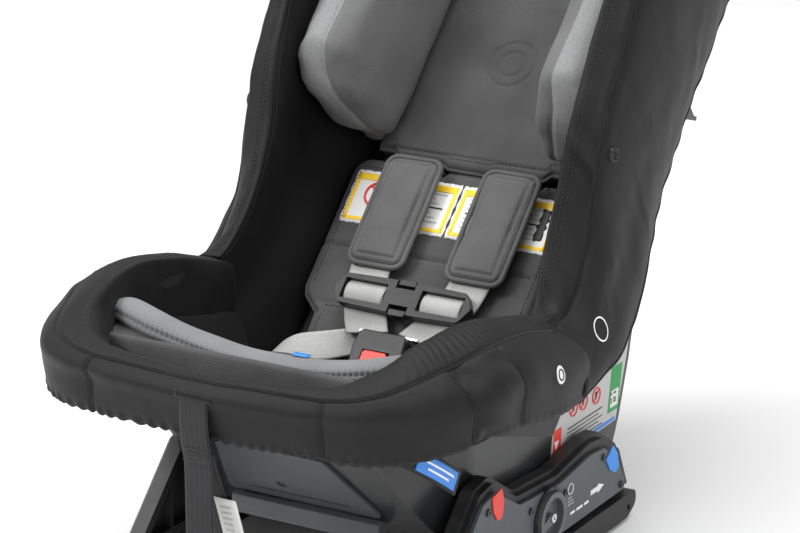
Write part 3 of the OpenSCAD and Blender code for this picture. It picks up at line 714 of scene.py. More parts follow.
# ---- padded rim -----------------------------------------------------------
# Sections of the rim from its rear end to the middle of the front. Each has the hem, the bulge,
# the outer seam, the inner edge and the foot of the inside, as (across, back, up).
RIM_SECTIONS = [
    [(192, -104, 188), (195, -104, 218), (171, -104, 240), (148, -104, 247), (139, -104, 196)],
    [(196, -117, 191), (199, -117, 222), (174, -117, 246), (150, -117, 253), (141, -117, 200)],
    [(201, -148, 194), (204, -150, 225), (178, -150, 256), (151, -142, 262), (142, -146, 205)],
    [(204, -180, 198), (206, -182, 229), (181, -184, 265), (152, -178, 272), (143, -178, 212)],
    [(205, -224, 206), (206, -224, 238), (183, -226, 270), (152, -222, 281), (144, -220, 222)],
    [(203, -262, 210), (205, -262, 240), (182, -262, 271), (151, -258, 283), (144, -252, 230)],
    [(192, -302, 208), (195, -302, 237), (173, -304, 267), (146, -296, 281), (139, -284, 238)],
    [(171, -334, 205), (174, -335, 233), (156, -341, 260), (135, -322, 270), (127, -302, 240)],
    [(142, -352, 203), (144, -356, 230), (133, -356, 254), (113, -341, 259), (111, -325, 242)],
    [(104, -360, 203), (104, -365, 228), (103, -363, 251), (90, -348, 254), (88, -331, 234)],
    [(52, -363, 203), (52, -369, 228), (52, -366, 250), (47, -350, 251), (46, -334, 230)],
    [(0, -364, 203), (0, -370, 228), (0, -367, 249), (0, -351, 247), (0, -334, 229)],
]
RIM_ROWS, RIM_COLS = 560, 110
RIM_CONTROLS = 10
RIM_HEM, RIM_SEAM, RIM_EDGE = 1, 5, 7


def rim_surface():
    """Grid of the rim: along it from the right rear end to the left one, and from hem to inside"""
    half = np.array(RIM_SECTIONS, float)
    left = half[-2::-1].copy()
    # the cloth hangs a little closer at the left front corner
    left[..., 0] -= 5 * bump(left[:, 2:3, 1], -312, 45) * ramp(left[..., 0], 90, 150)
    left[..., 0] *= -1
    sections = np.concatenate([half, left])
    hem, bulge, seam, edge, foot = (sections[:, k] for k in range(5))
    centre = np.array([0, -190, 0])
    inward = centre - hem
    inward[:, 2] = 0
    inward /= np.linalg.norm(inward, axis=1, keepdims=True)
    under = hem + inward * 16 + [0, 0, 2]
    low = hem + (bulge - hem) * 0.3 + inward * -1
    high = bulge + (seam - bulge) * 0.55 - inward * 6
    crest = (seam + edge) / 2 + [0, 0, 3.5]
    inside = edge * 0.25 + foot * 0.75
    inside[:, 2] = np.maximum(edge[:, 2] - 9, foot[:, 2] - 1)
    rows = np.stack([under, hem, low, bulge, high, seam, crest, edge, inside, foot], 1)
    along, s = even_rows(spline(rows, 1200), 3, RIM_ROWS)
    across = spline(np.swapaxes(along, 0, 1), RIM_COLS)
    return level(*np.moveaxis(np.swapaxes(across, 0, 1), -1, 0)), s


def section_position(k):
    """Column of the rim grid at control row k"""
    return k * (RIM_COLS - 1) / (RIM_CONTROLS - 1)


def nearest_row(p, column, x, y):
    """Row of the rim grid whose point in a column is nearest to (x, y)"""
    target = level(x, y, 0)[:2]
    line = p[:, int(column), :2]
    return int(np.argmin(np.linalg.norm(line - target, axis=1)))


def make_rim():
    p, s = rim_surface()
    normal = grid_normals(p)
    outward = p[:, :1] - level(0, -190, 230)
    if (normal[:, 30:50] * outward).sum(-1).mean() < 0:
        normal = -normal
    u, v = np.meshgrid(s, np.arange(RIM_COLS), indexing="ij")
    hem, seam, edge = (section_position(k) for k in (RIM_HEM, RIM_SEAM, RIM_EDGE))
    middle = s[-1] / 2
    front = 1 - ramp(np.abs(u - middle), 150, 210)
    # gathered hem: short ruffles at the front, longer and flatter ones at the sides
    wobble = lumps(p * [1, 1, 0.2], 0.03, 1) * 3
    ruffle = np.sin(u / 11.5 * 2 * math.pi + wobble) * (0.6 + 0.4 * front)
    ruffle = ruffle * (0.55 + 0.45 * lumps(p * [1, 1, 0], 0.045, 5))
    d = ruffle * 1.7 * (1 - ramp(v, hem + 1, hem + 15)) * (0.35 + 0.65 * front)
    # seams pulled in
    rear_right = nearest_row(p, section_position(3), 203, -232)
    side_right = nearest_row(p, section_position(3), 200, -292)
    front_right = nearest_row(p, section_position(3), 106, -365)
    seam_rows = []
    for row in (rear_right, side_right, front_right):
        seam_rows += [row, RIM_ROWS - 1 - row]
    d = d - 1.9 * bump(v, seam, 1.3)
    outer = (1 - ramp(v, seam - 0.5, seam + 0.5))
    for row in seam_rows:
        d = d - 1.7 * bump(u, s[row], 2.3) * outer
    # pads between the seams swell
    d = d + 2.2 * bump(v, section_position(3.2), 16) * (1 - 0.9 * sum(bump(u, s[r], 14) for r in seam_rows))
    # the band over the top is puckered, most of all beside the side panel
    pucker = np.sin(u / 7.5 * 2 * math.pi + lumps(p, 0.02, 9) * 2.5)
    where = ramp(v, seam, seam + 5) * (1 - ramp(v, edge - 2, edge + 3))
    side = bump(np.abs(u - middle), 265, 75)
    d = d + pucker * where * (0.18 + 0.85 * side) * (0.5 + 0.5 * lumps(p, 0.05, 3))
    # creases: long soft folds in the cloth, and a crumpled gusset behind the side panel
    d = d + 1.5 * lumps(p * [1, 1, 1.7], 0.05, 2) * (1 - 0.5 * bump(v, seam, 5))
    fold = lumps(p @ np.array([[1, 0, 0.6], [0, 1, 0.6], [-0.5, 0.4, 1]]), 0.021, 4)
    for a, b in ((side_right, rear_right), (RIM_ROWS - 1 - side_right, RIM_ROWS - 1 - rear_right)):
        lo, hi = sorted((s[a], s[b]))
        inside = ramp(u, lo - 2, lo + 6) * (1 - ramp(u, hi - 6, hi + 2)) * outer
        d = d + 3.0 * fold * inside + 1.6 * np.sin(v / 3.1 + 2.0 * fold) * inside * bump(u, hi, 13)
    d = d + 0.55 * fold
    inner = ramp(v, edge, edge + 8)
    d = d + inner * 1.6 * lumps(p * [1, 1, 0.7], 0.035, 7) * (1 - front) + inner * front * 2.2 * np.abs(fold)
    p = p + normal * (d * MM)[..., None]
    rim = put(cloth_grid("rim_cloth", p, thick=1.6 * MM), "seat", NYLON, ["rim_cover"])
    n = grid_normals(p)
    if (n * normal).sum(-1).mean() < 0:
        n = -n
    # the solid leg of the thickness has to lie inside
    rim.modifiers["thickness"].offset = -1 if (grid_normals(p) * normal).sum(-1).mean() > 0 else 1
    column = int(round(seam))
    # dark beads laid in the seam grooves: painted shade of the seams
    beads = [tube("seam", p[:, column] + n[:, column] * 0.2 * MM, 0.55 * MM, 6, up=(0, 0, 1))]
    for row in seam_rows:
        line = p[row, int(hem):int(seam)] + n[row, int(hem):int(seam)] * 0.1 * MM
        beads.append(tube("seam", line, 0.5 * MM, 6, up=n[row, 30]))
    put(join("rim_seam_shade", beads), "seat", SHADE_AND_PRINT_BLACK)
    # elastic binding rolled along the hem
    k = int(round(hem))
    bead = even(p[:, k - 1] - n[:, k - 1] * 0.4 * MM, 900)
    put(tube("rim_hem", bead, 1.5 * MM, 8, up=(0, 0, 1)), "seat", NYLON)
    return p, n


# ---- wings ----------------------------------------------------------------
# Stations of a wing from the rim to its top. Each has the hem, the outer side, the outer seam,
# the front edge, the inside and its foot, as (across, up the back, in front of it).
WING_STATIONS = [
    [(196, -7, 30), (199, 13, 50), (174, 36, 72.5), (150, 41, 77.5), (142, 17, 54), (136, -8, 28)],
    [(195, 20, 14), (194, 38, 36), (172, 60, 56), (146, 62, 73), (142, 44, 42), (130, 26, 12)],
    [(192, 62, -14), (188, 76, 24), (171, 90, 57), (142, 90, 76.5), (141, 78, 44), (122, 64, 2)],
    [(184, 108, -34), (182, 112, 20), (170, 120, 64), (140.5, 120, 84), (141, 116, 46), (119, 110, 2)],
    [(172, 160, -42), (178, 160, 20), (170, 162, 90), (141, 163, 101), (142, 160, 50), (118, 160, 2)],
    [(161, 210, -44), (177, 208, 28), (171, 208, 114), (144.5, 208, 125), (143, 206, 58), (118, 205, 2)],
    [(156, 260, -44), (178, 260, 34), (172, 260, 127), (147, 260, 142), (144, 260, 66), (118, 260, 2)],
    [(154, 330, -43), (178, 330, 40), (172, 330, 147), (149, 330, 160), (145, 330, 75), (118, 330, 2)],
    [(154, 400, -42), (178, 400, 42), (171, 400, 151), (149, 400, 162), (145, 400, 76), (118, 400, 2)],
    [(154, 470, -42), (177, 470, 36), (170, 470, 137), (149, 472, 149), (145, 470, 70), (118, 470, 2)],
    [(154, 530, -42), (175, 530, 26), (167, 526, 104), (149, 530, 116), (144, 530, 54), (118, 530, 2)],
    [(154, 572, -42), (172, 572, 12), (164, 568, 58), (148, 574, 68), (142, 572, 34), (118, 568, 0)],
    [(154, 594, -41), (166, 594, -8), (160, 594, 8), (148, 598, 12), (138, 592, 2), (118, 582, -12)],
]
WING_ROWS, WING_COLS = 330, 120
WING_CONTROLS = 13
WING_HEM, WING_SEAM, WING_EDGE, WING_FOLD = 1, 5, 7, 8


def wing_column(k):
    return int(round(k * (WING_COLS - 1) / (WING_CONTROLS - 1)))


def wing_surface():
    st = np.array(WING_STATIONS, float)
    hem, side, seam, edge, inner, foot = (st[:, k] for k in range(6))
    tuck = hem + [-9, 2, 3]
    low = hem * 0.55 + side * 0.45 + [4, 0, -1]
    high = (side + seam) / 2 + [3.5, 0, 2]
    face = (seam + edge) / 2 + [2, 0, 3]
    turn = edge + [-3.5, 0, -6]
    wall = (edge + inner) / 2 + [-0.5, 0, 0]
    curve = (inner + foot) / 2 + [7, 0, -10]
    down = foot * [0, 1, 0] + [111, 0, -27]
    rows = np.stack([tuck, hem, low, side, high, seam, face, edge, turn, wall, inner * 0.5 + curve * 0.5,
                     foot, down], 1)
    along, s = even_rows(spline(rows, 900), 6, WING_ROWS)
    across = np.swapaxes(spline(np.swapaxes(along, 0, 1), WING_COLS), 0, 1)
    return back(*np.moveaxis(across, -1, 0)), s


def make_wing(side):
    """side is 1 for the right-hand wing and -1 for the left-hand one"""
    name = SIDES[side]
    p, s = wing_surface()
    p = p * [side, 1, 1]
    normal = grid_normals(p)
    out = normal[:, wing_column(3)] @ [side, 0, 0]
    if out.mean() < 0:
        normal = -normal
    u, v = np.meshgrid(s, np.arange(WING_COLS), indexing="ij")
    seed = 20 + side
    hem, seam, edge = (wing_column(k) for k in (WING_HEM, WING_SEAM, WING_EDGE))
    ripple = np.sin(u / 31 * 2 * math.pi + 5 * lumps(p * [0.3, 1, 1], 0.05, seed))
    d = -1.2 + 0.5 * ripple * (1 - ramp(v, hem, hem + 12)) * ramp(u, 60, 200)
    d = d - 1.9 * bump(v, seam, 1.2)
    # diagonal drag lines from the seam across the outer panel and the front face
    drag = lumps(np.stack([u * 0.2 + v * 1.7, u - v * 1.5, v * 0.6], -1) * MM, 0.022, seed + 1)
    tension = 1.7 * drag * np.clip(drag, 0, 1)
    d = d + 2.6 * tension * bump(v, seam - 12, 15)
    d = d + 1.9 * lumps(np.stack([u - 1.4 * v, v * 0.5, 0 * v + u * 0.1], -1) * MM, 0.016, seed + 2) \
        * ramp(v, seam, seam + 3) * (1 - ramp(v, edge - 5, edge)) * (0.25 + 0.75 * (1 - ramp(u, 150, 260)))
    d = d + 1.6 * lumps(p, 0.06, seed + 3) * (1 - 0.8 * bump(v, edge, 5))
    d = d + 0.6 * lumps(p, 0.018, seed + 4)
    crumple = 1 - ramp(u, 5, 38)
    d = d + 1.6 * crumple * np.sin(v / 2.2 + 3 * lumps(p, 0.02, 8)) * ramp(v, seam + 2, seam + 8) \
        * (1 - ramp(v, edge + 6, edge + 14))
    lining = ramp(v, edge + 4, edge + 14)
    d = d + lining * 2.4 * lumps(p * [1, 0.6, 0.6], 0.045, seed + 5)
    # the padded front edge stands up as a soft roll in front of the recessed lining
    d = d + 1.6 * bump(v, edge, 4.5) - 2.2 * bump(v, edge + 7.5, 1.6)
    p = p + normal * (d * MM)[..., None]
    fold = wing_column(WING_FOLD)
    outer = p[:, :fold + 1]
    obj = cloth_grid("wing_cloth_" + name, outer, thick=1.6 * MM)
    flip = (grid_normals(outer) * normal[:, :outer.shape[1]]).sum(-1).mean() > 0
    obj.modifiers["thickness"].offset = -1 if flip else 1
    put(obj, "seat", NYLON, ["wing_cover_" + name])
    inner = p[:, fold:]
    obj = cloth_grid("wing_lining_" + name, inner, thick=1.4 * MM)
    obj.modifiers["thickness"].offset = -1 if flip else 1
    put(obj, "seat", LINING, ["wing_foam_" + name])
    n = grid_normals(p) * (1 if (grid_normals(p) * normal).sum(-1).mean() > 0 else -1)
    # dark beads in the seam grooves and in the fold between the cloth and the lining: painted shade
    beads = [tube("seam", p[3:-3, seam] + n[3:-3, seam] * 0.15 * MM, 0.5 * MM, 6, up=n[WING_ROWS // 2, seam])]
    beads.append(tube("seam", p[3:-3, fold] + n[3:-3, fold] * 0.1 * MM, 0.8 * MM, 6,
                      up=n[WING_ROWS // 2, fold]))
    beads.append(tube("seam", p[2, seam - 40:seam] + n[2, seam - 40:seam] * 0.1 * MM, 0.5 * MM, 6,
                      up=(side, 0, 0)))
    put(join("wing_seam_shade_" + name, beads), "seat", SHADE_AND_PRINT_BLACK)
    rows = [stitches("row", p[4:-4, column], 0.35 * MM, 3.6 * MM, 0.4 * MM, up=n[4:-4, column])
            for column in (edge - 5, edge - 3)]
    put(join("wing_stitching_" + name, rows), "seat", THREAD_BLACK)
    hem_line = even(p[:, hem] - n[:, hem] * 0.3 * MM, 500)
    put(tube("wing_hem_" + name, hem_line, 1.9 * MM, 8, up=(side, 0, 0.2)), "seat", NYLON)
    return p, n


# ---- pads -----------------------------------------------------------------
def closed_pad(name, front, rear):
    """Closed pad from two grids that share their edge"""
    rows, cols = front.shape[:2]
    index = np.arange(rows * cols).reshape(rows, cols)
    inner = np.zeros((rows, cols), bool)
    inner[1:-1, 1:-1] = True
    other = index.copy()
    other[inner] = rows * cols + np.arange(inner.sum())
    verts = np.concatenate([front.reshape(-1, 3), rear[inner]])
    faces = []
    for i in range(rows - 1):
        for j in range(cols - 1):
            for k, flip in ((index, 1), (other, -1)):
                face = (k[i, j], k[i + 1, j], k[i + 1, j + 1], k[i, j + 1])
                faces.append(tuple(int(a) for a in face[::flip]))
    return add_mesh(name, verts, faces)


def edge_loop(grid, count):
    """Evenly spaced points round the edge of a grid"""
    edge = np.concatenate([grid[0, :-1], grid[:-1, -1], grid[-1, :0:-1], grid[:0:-1, 0]])
    return even(np.vstack([edge, edge[:1]]), count)[:-1]


class Pad:
    """Flat pad on the back: a plan outline, and a front surface with rounded edges"""

    def __init__(self, half_width, bottom, top, front, thick, radius, crown=1.5, swell=None, centre=0.0):
        self.half_width, self.bottom, self.top = half_width, bottom, top
        self.front, self.thick, self.radius, self.crown = front, thick, radius, crown
        self.swell, self.centre = swell, centre

    def depth(self, x, l):
        """Distance of the front surface from the back surface"""
        w = self.half_width(l)
        lo, hi = self.bottom(x), self.top(x)
        near = np.minimum(np.minimum(w - np.abs(x - self.centre), l - lo), hi - l)
        near = np.clip(near, 0, self.radius)
        drop = self.radius - np.sqrt(np.maximum(0, self.radius ** 2 - (self.radius - near) ** 2))
        arch = (1 - (np.clip((x - self.centre) / w, -1, 1)) ** 2) * (1 - ((2 * l - lo - hi) / (hi - lo)) ** 2)
        d = self.front + self.crown * np.clip(arch, 0, 1) ** 0.6 - drop
        if self.swell is not None:
            d = d + self.swell(x, l)
        return d

    def at(self, x, l, lift=0.0):
        return back(x, l, self.depth(x, l) + lift)

    def build(self, name, rows, cols):
        ease = np.sin(np.linspace(-1, 1, cols) * math.pi / 2)
        mixed = 0.35 * np.linspace(-1, 1, cols) + 0.65 * ease
        rise = (1 - np.cos(np.linspace(0, 1, rows) * math.pi)) / 2
        rise = 0.5 * np.linspace(0, 1, rows) + 0.5 * rise
        r, t = np.meshgrid(rise, mixed, indexing="ij")
        x0 = self.centre + t * self.half_width(self.bottom(0) + r * (self.top(0) - self.bottom(0)))
        l = self.bottom(x0) + r * (self.top(x0) - self.bottom(x0))
        x = self.centre + t * self.half_width(l)
        l = self.bottom(x) + r * (self.top(x) - self.bottom(x))
        front = self.at(x, l)
        return closed_pad(name, front, back(x, l, np.full_like(x, self.front - self.thick))), front


def widths(table):
    """Half width against distance up the back"""
    l, w = np.array(table, float).T
    return lambda at: np.interp(at, l, w)


def rounded_widths(table, radius):
    """Half width that closes in round corners at both ends"""
    plain = widths(table)
    lo, hi = table[0][0], table[-1][0]

    def half(at):
        near = np.clip(np.minimum(np.asarray(at, float) - lo, hi - np.asarray(at, float)), 0, radius)
        return plain(at) - radius + np.sqrt(np.maximum(0, radius ** 2 - (radius - near) ** 2))
    return half


def strap(name, spine, across, width, body, material, replaces=(), thick=1.5, rows=60,
          wander=0.0):
    """Webbing along a spine; across gives the direction of its width at each point"""
    path = spline(spine, rows)
    side = unit(spline(np.broadcast_to(across, np.shape(spine)), rows))
    t = np.linspace(-0.5, 0.5, 13)
    p = path[:, None] + side[:, None] * (t * width * MM)[None, :, None]
    if wander:
        p = p + grid_normals(p) * (lumps(p, 0.03, len(name)) * wander * MM)[..., None]
    obj = cloth_grid(name, p, thick=thick * MM)
    obj.modifiers["thickness"].offset = 0
    put(obj, body, material, replaces)


# ---- seat lining ----------------------------------------------------------
def make_lining(rim):
    """Black lining that drops from the inside of the rim and lies under the cushion"""
    foot = rim[:, -3]
    inward = np.linspace(0, 1, 60)
    middle = BIGHT + MM * np.array([0, -110, 0])
    x = foot[:, None, 0] * (1 - inward) + middle[0] * inward
    y = foot[:, None, 1] * (1 - 0.9 * inward) + middle[1] * 0.9 * inward
    s = (BIGHT[1] - y) / MM / math.cos(SEAT_TILT)
    under = BIGHT[2] + MM * (s * math.sin(SEAT_TILT) - 14)
    drop = ramp(inward, 0, 0.26)
    z = foot[:, None, 2] * (1 - drop) + under * drop
    p = np.stack([x, y, z], -1)
    p[..., 2] += MM * 2.2 * lumps(p, 0.045, 31) * ramp(inward, 0, 0.1)
    put(cloth_grid("seat_lining", p, thick=1.2 * MM, out=(0, 0, 1)), "seat", LINING)


# ---- seat cushion ---------------------------------------------------------
def make_cushion():
    """Padded seat: a dark panel that dips for the buckle, and a pale roll along its front"""
    s, t = np.meshgrid(np.linspace(8, 206, 60), np.sin(np.linspace(-1, 1, 60) * math.pi / 2), indexing="ij")
    half = np.interp(s, [8, 80, 150, 185, 206], [100, 108, 128, 134, 120])
    x = half * t
    near = np.minimum(half - np.abs(x), np.minimum(s - 8, 206 - s))
    round_off = 9 - np.sqrt(np.maximum(0, 81 - (9 - np.clip(near, 0, 9)) ** 2))
    h = -2 + 7 * ramp(np.abs(x), 60, 135) * ramp(s, 60, 150) - round_off
    h = h - 15 * bump(x, 0, 26) * (1 - ramp(s, 34, 52))
    front = seat(x, s, h)
    rear = seat(x, s, np.full_like(x, -22.0))
    pad = closed_pad("seat_cushion_pad", front, rear)
    inflate(pad, 5.5, 3.0, 4.0)
    co = vertices(pad)
    set_vertices(pad, co + mesh_normals(pad) * (0.5 * MM * lumps(co, 0.02, 41))[:, None])
    put(pad, "seat", CHARCOAL, ["seat_cushion"])
    # roll along the front edge, with gathers at the seam on its face
    centre = spline([(-140, -262, 252), (-128, -276, 257), (-92, -288, 254), (-54, -291, 248),
                     (-8, -292, 243), (38, -292, 243), (84, -290, 247), (120, -282, 254),
                     (140, -264, 256)], 300)
    height = np.interp(np.linspace(-140, 140, 300), [-140, -92, -54, -8, 38, 84, 140],
                       [9, 11.5, 10, 8.5, 8.5, 9.5, 9])
    ends = np.sqrt(np.clip(1 - np.abs(np.linspace(-1, 1, 300)) ** 26, 0.0, 1))
    a = np.linspace(0, 2 * math.pi, 40, endpoint=False)
    out = unit(np.cross(unit(np.gradient(centre, axis=0)), [0, 0, 1.0]))
    out *= np.where(out[:, 1:2] > 0, -1, 1)
    along = lengths(centre)
    seam_at = 0.12
    gather = np.sin(along / 4.6 * 2 * math.pi + 1.5 * np.sin(along / 23))[:, None] * bump(a, seam_at, 0.6)
    r = 1 + (-0.15 * bump(a, seam_at, 0.16))[None] + 0.055 * gather
    p = (centre[:, None]
         + out[:, None] * (13 * ends[:, None] * np.cos(a) * r)[..., None]
         + np.array([0, 0, 1.0]) * (height[:, None] * ends[:, None] * np.sin(a) * r)[..., None])
    p = level(*np.moveaxis(p, -1, 0))
    p = p + MM * 0.5 * lumps(p, 0.03, 43)[..., None] * np.array([0, 0, 1.0])
    roll = cloth_grid("seat_cushion_roll", p, wrap=True)
    put(roll, "seat", PALE_GREY)
    k = int(np.argmin(np.abs(a - seam_at)))
    put(tube("cushion_roll_seam", p[4:-4, k], 0.5 * MM, 6, up=(0, -1, 0.4)), "seat", PALE_GREY)
    # smooth grey panel that falls from the roll over the front wall of the pan
    x = np.linspace(-137, 137, 150)
    start = np.stack([np.interp(x, centre[:, 0], centre[:, k]) - drop for k, drop in ((1, 4), (2, 7))], -1)
    fall = np.array([(-305, 247.2), (-309, 250), (-313.5, 248.6), (-316, 240), (-318, 226)], float)
    path = np.concatenate([start[:, None], np.tile(fall, (len(x), 1, 1))], 1)
    path[:, 1:, 1] += 1.2 * bump(x, 0, 70)[:, None] * [0, 0.4, 0.3, 0.2, 0]
    curve = np.swapaxes(spline(np.swapaxes(path, 0, 1), 40), 0, 1)
    panel = level(np.broadcast_to(x[:, None], curve.shape[:2]), curve[..., 0], curve[..., 1])
    panel = panel + MM * 0.7 * lumps(panel, 0.035, 44)[..., None] * np.array([0, -0.5, 0.6])
    panel = cloth_grid("seat_cushion_face", panel, thick=1.2 * MM, out=(0, -0.4, 1))
    put(panel, "seat", CHARCOAL)
    tag = level(np.linspace(34, 48, 6)[:, None], [-283.5, -287, -290], [253.2, 253.6, 253.0])
    put(cloth_grid("cushion_tag", tag, thick=0.6 * MM, out=(0, 0, 1)), "seat", BLUE_FILM)


# ---- back pad and its labels ----------------------------------------------
def make_back_pad():
    table = [(2, 86), (44, 88), (58, 104), (66, 107), (194, 107)]
    half = rounded_widths(table, 14)

    def top(x):
        notch = ramp(np.abs(np.asarray(x, float)), 17, 22) * (1 - ramp(np.abs(np.asarray(x, float)), 70, 75))
        return 194 - 6 * notch

    def bottom(x):
        return 2 + 0 * np.asarray(x, float)

    def channels(x, l):
        d = -1.8 * bump(l, 108, 2.0) - 1.1 * bump(l, 52, 2.2) * (np.abs(x) < 92)
        return d + 0.6 * lumps(np.stack([x, l, 0 * x], -1) * MM, 0.04, 51)
    pad = Pad(half, bottom, top, -0.6, 26, 7, 1.6, channels)
    obj, front = pad.build("back_pad_cloth", 120, 110)
    put(obj, "seat", CHARCOAL, ["back_pad"])
    put(tube("back_pad_binding", edge_loop(front, 600) + OFF_BACK * 1.4 * MM, 2.3 * MM, 8, closed=True,
             flat=0.75), "seat", BINDING)
    lines = [(np.linspace(-98, 98, 240), 108, 0.9), (np.linspace(-80, 80, 200), 50, 0.7)]
    for side in (-1, 1):
        lines += [(side * 99.5, np.linspace(70, 182, 160), 0.5), (side * 80.5, np.linspace(8, 42, 60), 0.5)]
    lines.append((np.linspace(-96, -78, 30), 186, 0.5))
    rows = [stitches("row", pad.at(*floats(x, l)), off * MM) for x, l, off in lines]
    put(join("back_pad_stitching", rows), "seat", THREAD_GREY)
    make_pad_labels(pad)


def patch(name, pad, x0, x1, l0, l1, lift, material, ragged=0.0, rows=14, cols=30):
    """Thin label that follows the pad, with an uneven edge where it is ragged"""
    l, x = np.meshgrid(np.linspace(l0, l1, rows), np.linspace(x0, x1, cols), indexing="ij")
    if ragged:
        rim = np.zeros_like(l)
        rim[0], rim[-1] = -1, 1
        l = l + rim * ragged * np.sin(x * 0.9) * np.cos(x * 0.37)
        rim = np.zeros_like(l)
        rim[:, 0], rim[:, -1] = -1, 1
        x = x + rim * ragged * np.sin(l * 1.1)
    obj = cloth_grid(name, pad.at(x, l, lift), thick=0.25 * MM, out=OFF_BACK)
    return dress(obj, material)


def ring(name, points, radius, material, up):
    return dress(tube(name, points, radius, 6, closed=True, up=up), material)


def circle(cx, cy, r, count=40):
    a = np.linspace(0, 2 * math.pi, count, endpoint=False)
    return cx + r * np.cos(a), cy + r * np.sin(a)


def make_pad_labels(pad):
    """Woven labels behind the straps: yellow borders, plain grey bars and a barred ring"""
    parts = []
    for x0, x1 in ((-101, -46), (-42, 2), (4, 44), (50, 101)):
        parts.append(patch("label_card", pad, x0, x1, 130, 182, 0.5, PAPER, 0.6))
        x2, x3, w = x0 + 2, x1 - 2, 3.4
        for a, b, c, d in ((x2, x3, 176 - w, 179), (x2, x3, 133, 133 + w), (x2, x2 + w, 133, 179),
                           (x3 - w, x3, 133, 179)):
            parts.append(patch("label_frame", pad, a, b, c, d, 0.75, YELLOW_FILM, 0, 6, 12))
        for k, l in enumerate(np.arange(142, 172, 4.6)):
            a, b = x0 + 10, x1 - 10 - 5 * (k % 3)
            if b - a > 6 and x0 > -50:
                ink = INK if k == 3 else SILVER_FILM
                parts.append(patch("label_bar", pad, a, b, l, l + 1.3, 0.78, ink, 0, 3, 8))
    x, l = circle(-74, 160, 11.5)
    parts.append(ring("label_ring", pad.at(x, l, 1.0), 0.8 * MM, RED_FILM, OFF_BACK))
    t = np.linspace(-1, 1, 12)
    parts.append(dress(tube("label_slash", pad.at(-74 + 8 * t, 160 - 8 * t, 1.0), 0.8 * MM, 6), RED_FILM))
    parts.append(patch("label_sign", pad, -79, -70, 152, 168, 0.85, INK, 0, 8, 6))
    parts.append(patch("label_sign", pad, 84, 92, 142, 172, 0.85, INK, 1.2, 10, 6))
    put(join("pad_labels", parts), "seat")


# ---- head rest ------------------------------------------------------------
def make_head_pad():
    table = [(197, 92), (400, 92), (424, 88), (442, 74), (454, 52)]
    plain = widths(table)

    def half(at):
        near = np.clip(np.asarray(at, float) - 199, 0, 9)
        return plain(at) - 9 + np.sqrt(np.maximum(0, 81 - (9 - near) ** 2))

    def top(x):
        return 454 - 0.0012 * np.asarray(x, float) ** 2

    def bottom(x):
        a = np.abs(np.asarray(x, float))
        return 197 + 3 * ramp(a, 19, 26) + 7 * ramp(a, 70, 78)

    def swell(x, l):
        radial = np.hypot(x - 2, l - 304)
        mark = -1.5 * bump(radial, 22, 1.1) - 1.5 * bump(radial, 12, 1.0)
        return mark + 0.8 * lumps(np.stack([x, l, 0 * x], -1) * MM, 0.06, 61) - 1.3 * bump(l, 208, 1.5)
    pad = Pad(half, bottom, top, 1.4, 17.6, 6, 2.0, swell)
    obj, front = pad.build("head_pad_cloth", 200, 160)
    put(obj, "head_rest", CHARCOAL, ["head_pad"])
    put(tube("head_pad_binding", edge_loop(front, 700) + OFF_BACK * 1.2 * MM, 2.1 * MM, 8, closed=True,
             flat=0.75), "head_rest", BINDING)
    x = np.linspace(-82, 82, 220)
    put(stitches("head_pad_stitching", pad.at(x, bottom(x) + 8.5), 0.8 * MM), "head_rest", THREAD_GREY)


def make_pillow(side):
    name = SIDES[side]
    obj = add_copy("head_pillow_" + name, "head_pillow_%s_cloth" % name)
    inflate(obj, 4.5, 5.0, 5.0, relax=14)
    co = vertices(obj)
    n = mesh_normals(obj)
    rel = (co - BIGHT) / MM
    co = co + UP_BACK * (8 * MM * (1 - ramp(rel @ UP_BACK, 196, 270)))[:, None]
    seam = np.abs(rel[:, 0]) - PILLOW_SEAM_X - PILLOW_SLOPE * np.minimum(rel @ OFF_BACK, PILLOW_DEPTH)
    co = co - n * (1.6 * MM * bump(seam, 0, 1.8))[:, None]
    co = co + n * (0.35 * MM * lumps(co, 0.05, 70 + side))[:, None]
    set_vertices(obj, co)
    put(obj, "head_rest", GREY_TWILL, ["head_pillow_" + name])


def add_copy(node, name):
    mesh = NODES[node].data.copy()
    mesh.materials.clear()
    return add_object(name, mesh)


# ---- harness --------------------------------------------------------------
def make_harness():
    for side in (-1, 1):
        name = SIDES[side]
        shift = 6 if side > 0 else 3
        x = 46
        spine = back(np.array([x, x, x, x, x + 1, x + 2, x + 2, x + 1, x - 3, x - 13, x - 22]) * side
                     + np.array([0, 0, 0, 0.4, 0.7, 1, 1, 1, 0.8, 0.4, 0]) * shift * 0.4,
                     np.array([197, 197.6, 197.2, 192, 176, 140, 104, 84, 64, 42, 27]),
                     np.array([-34, -14, 1, 7.6, 9, 9, 9.2, 9.4, 9.4, 9.4, 10.5]))
        lean = np.array([ACROSS] * 8 + [ACROSS - 0.12 * side * UP_BACK, ACROSS - 0.3 * side * UP_BACK,
                                        ACROSS - 0.2 * side * UP_BACK])
        strap("shoulder_strap_%s_web" % name, spine, lean, 38, "seat", WEBBING,
              ["shoulder_strap_" + name], rows=120, wander=0.5)
        # lap strap: from the hip plate up over the cushion and into the buckle
        spine = seat(np.array([108, 99, 85, 67, 49, 35, 25]) * side, [16, 16, 14, 9, 0, -10, -16],
                     [-8, 0, 6, 10, 15, 21, 25])
        turned = np.array([(0, 1, z) for z in (0.05, 0.3, 0.7, 1, 1.1, 1.1, 1.1)])
        strap("lap_strap_%s_web" % name, spine, turned, 28, "seat", WEBBING,
              ["lap_strap_" + name], rows=60, wander=0.6)
        # the webbing that shows in the windows of the chest clip
        l = np.linspace(48, 72, 17)
        d = 11.5 + 7.6 * np.sin((l - 48) / 24 * math.pi) ** 0.7
        strap("clip_webbing_" + name, back(37.0 * side + 0 * l, l, d), ACROSS, 37, "clip",
              WEBBING, thick=1.2, rows=40)
    spine = back(0 * np.arange(4), [-46, -38, -28, -17], [15.5, 16, 16, 16])
    strap("buckle_strap_web", spine, ACROSS, 38, "seat", WEBBING,
          ["buckle_strap"], rows=20)


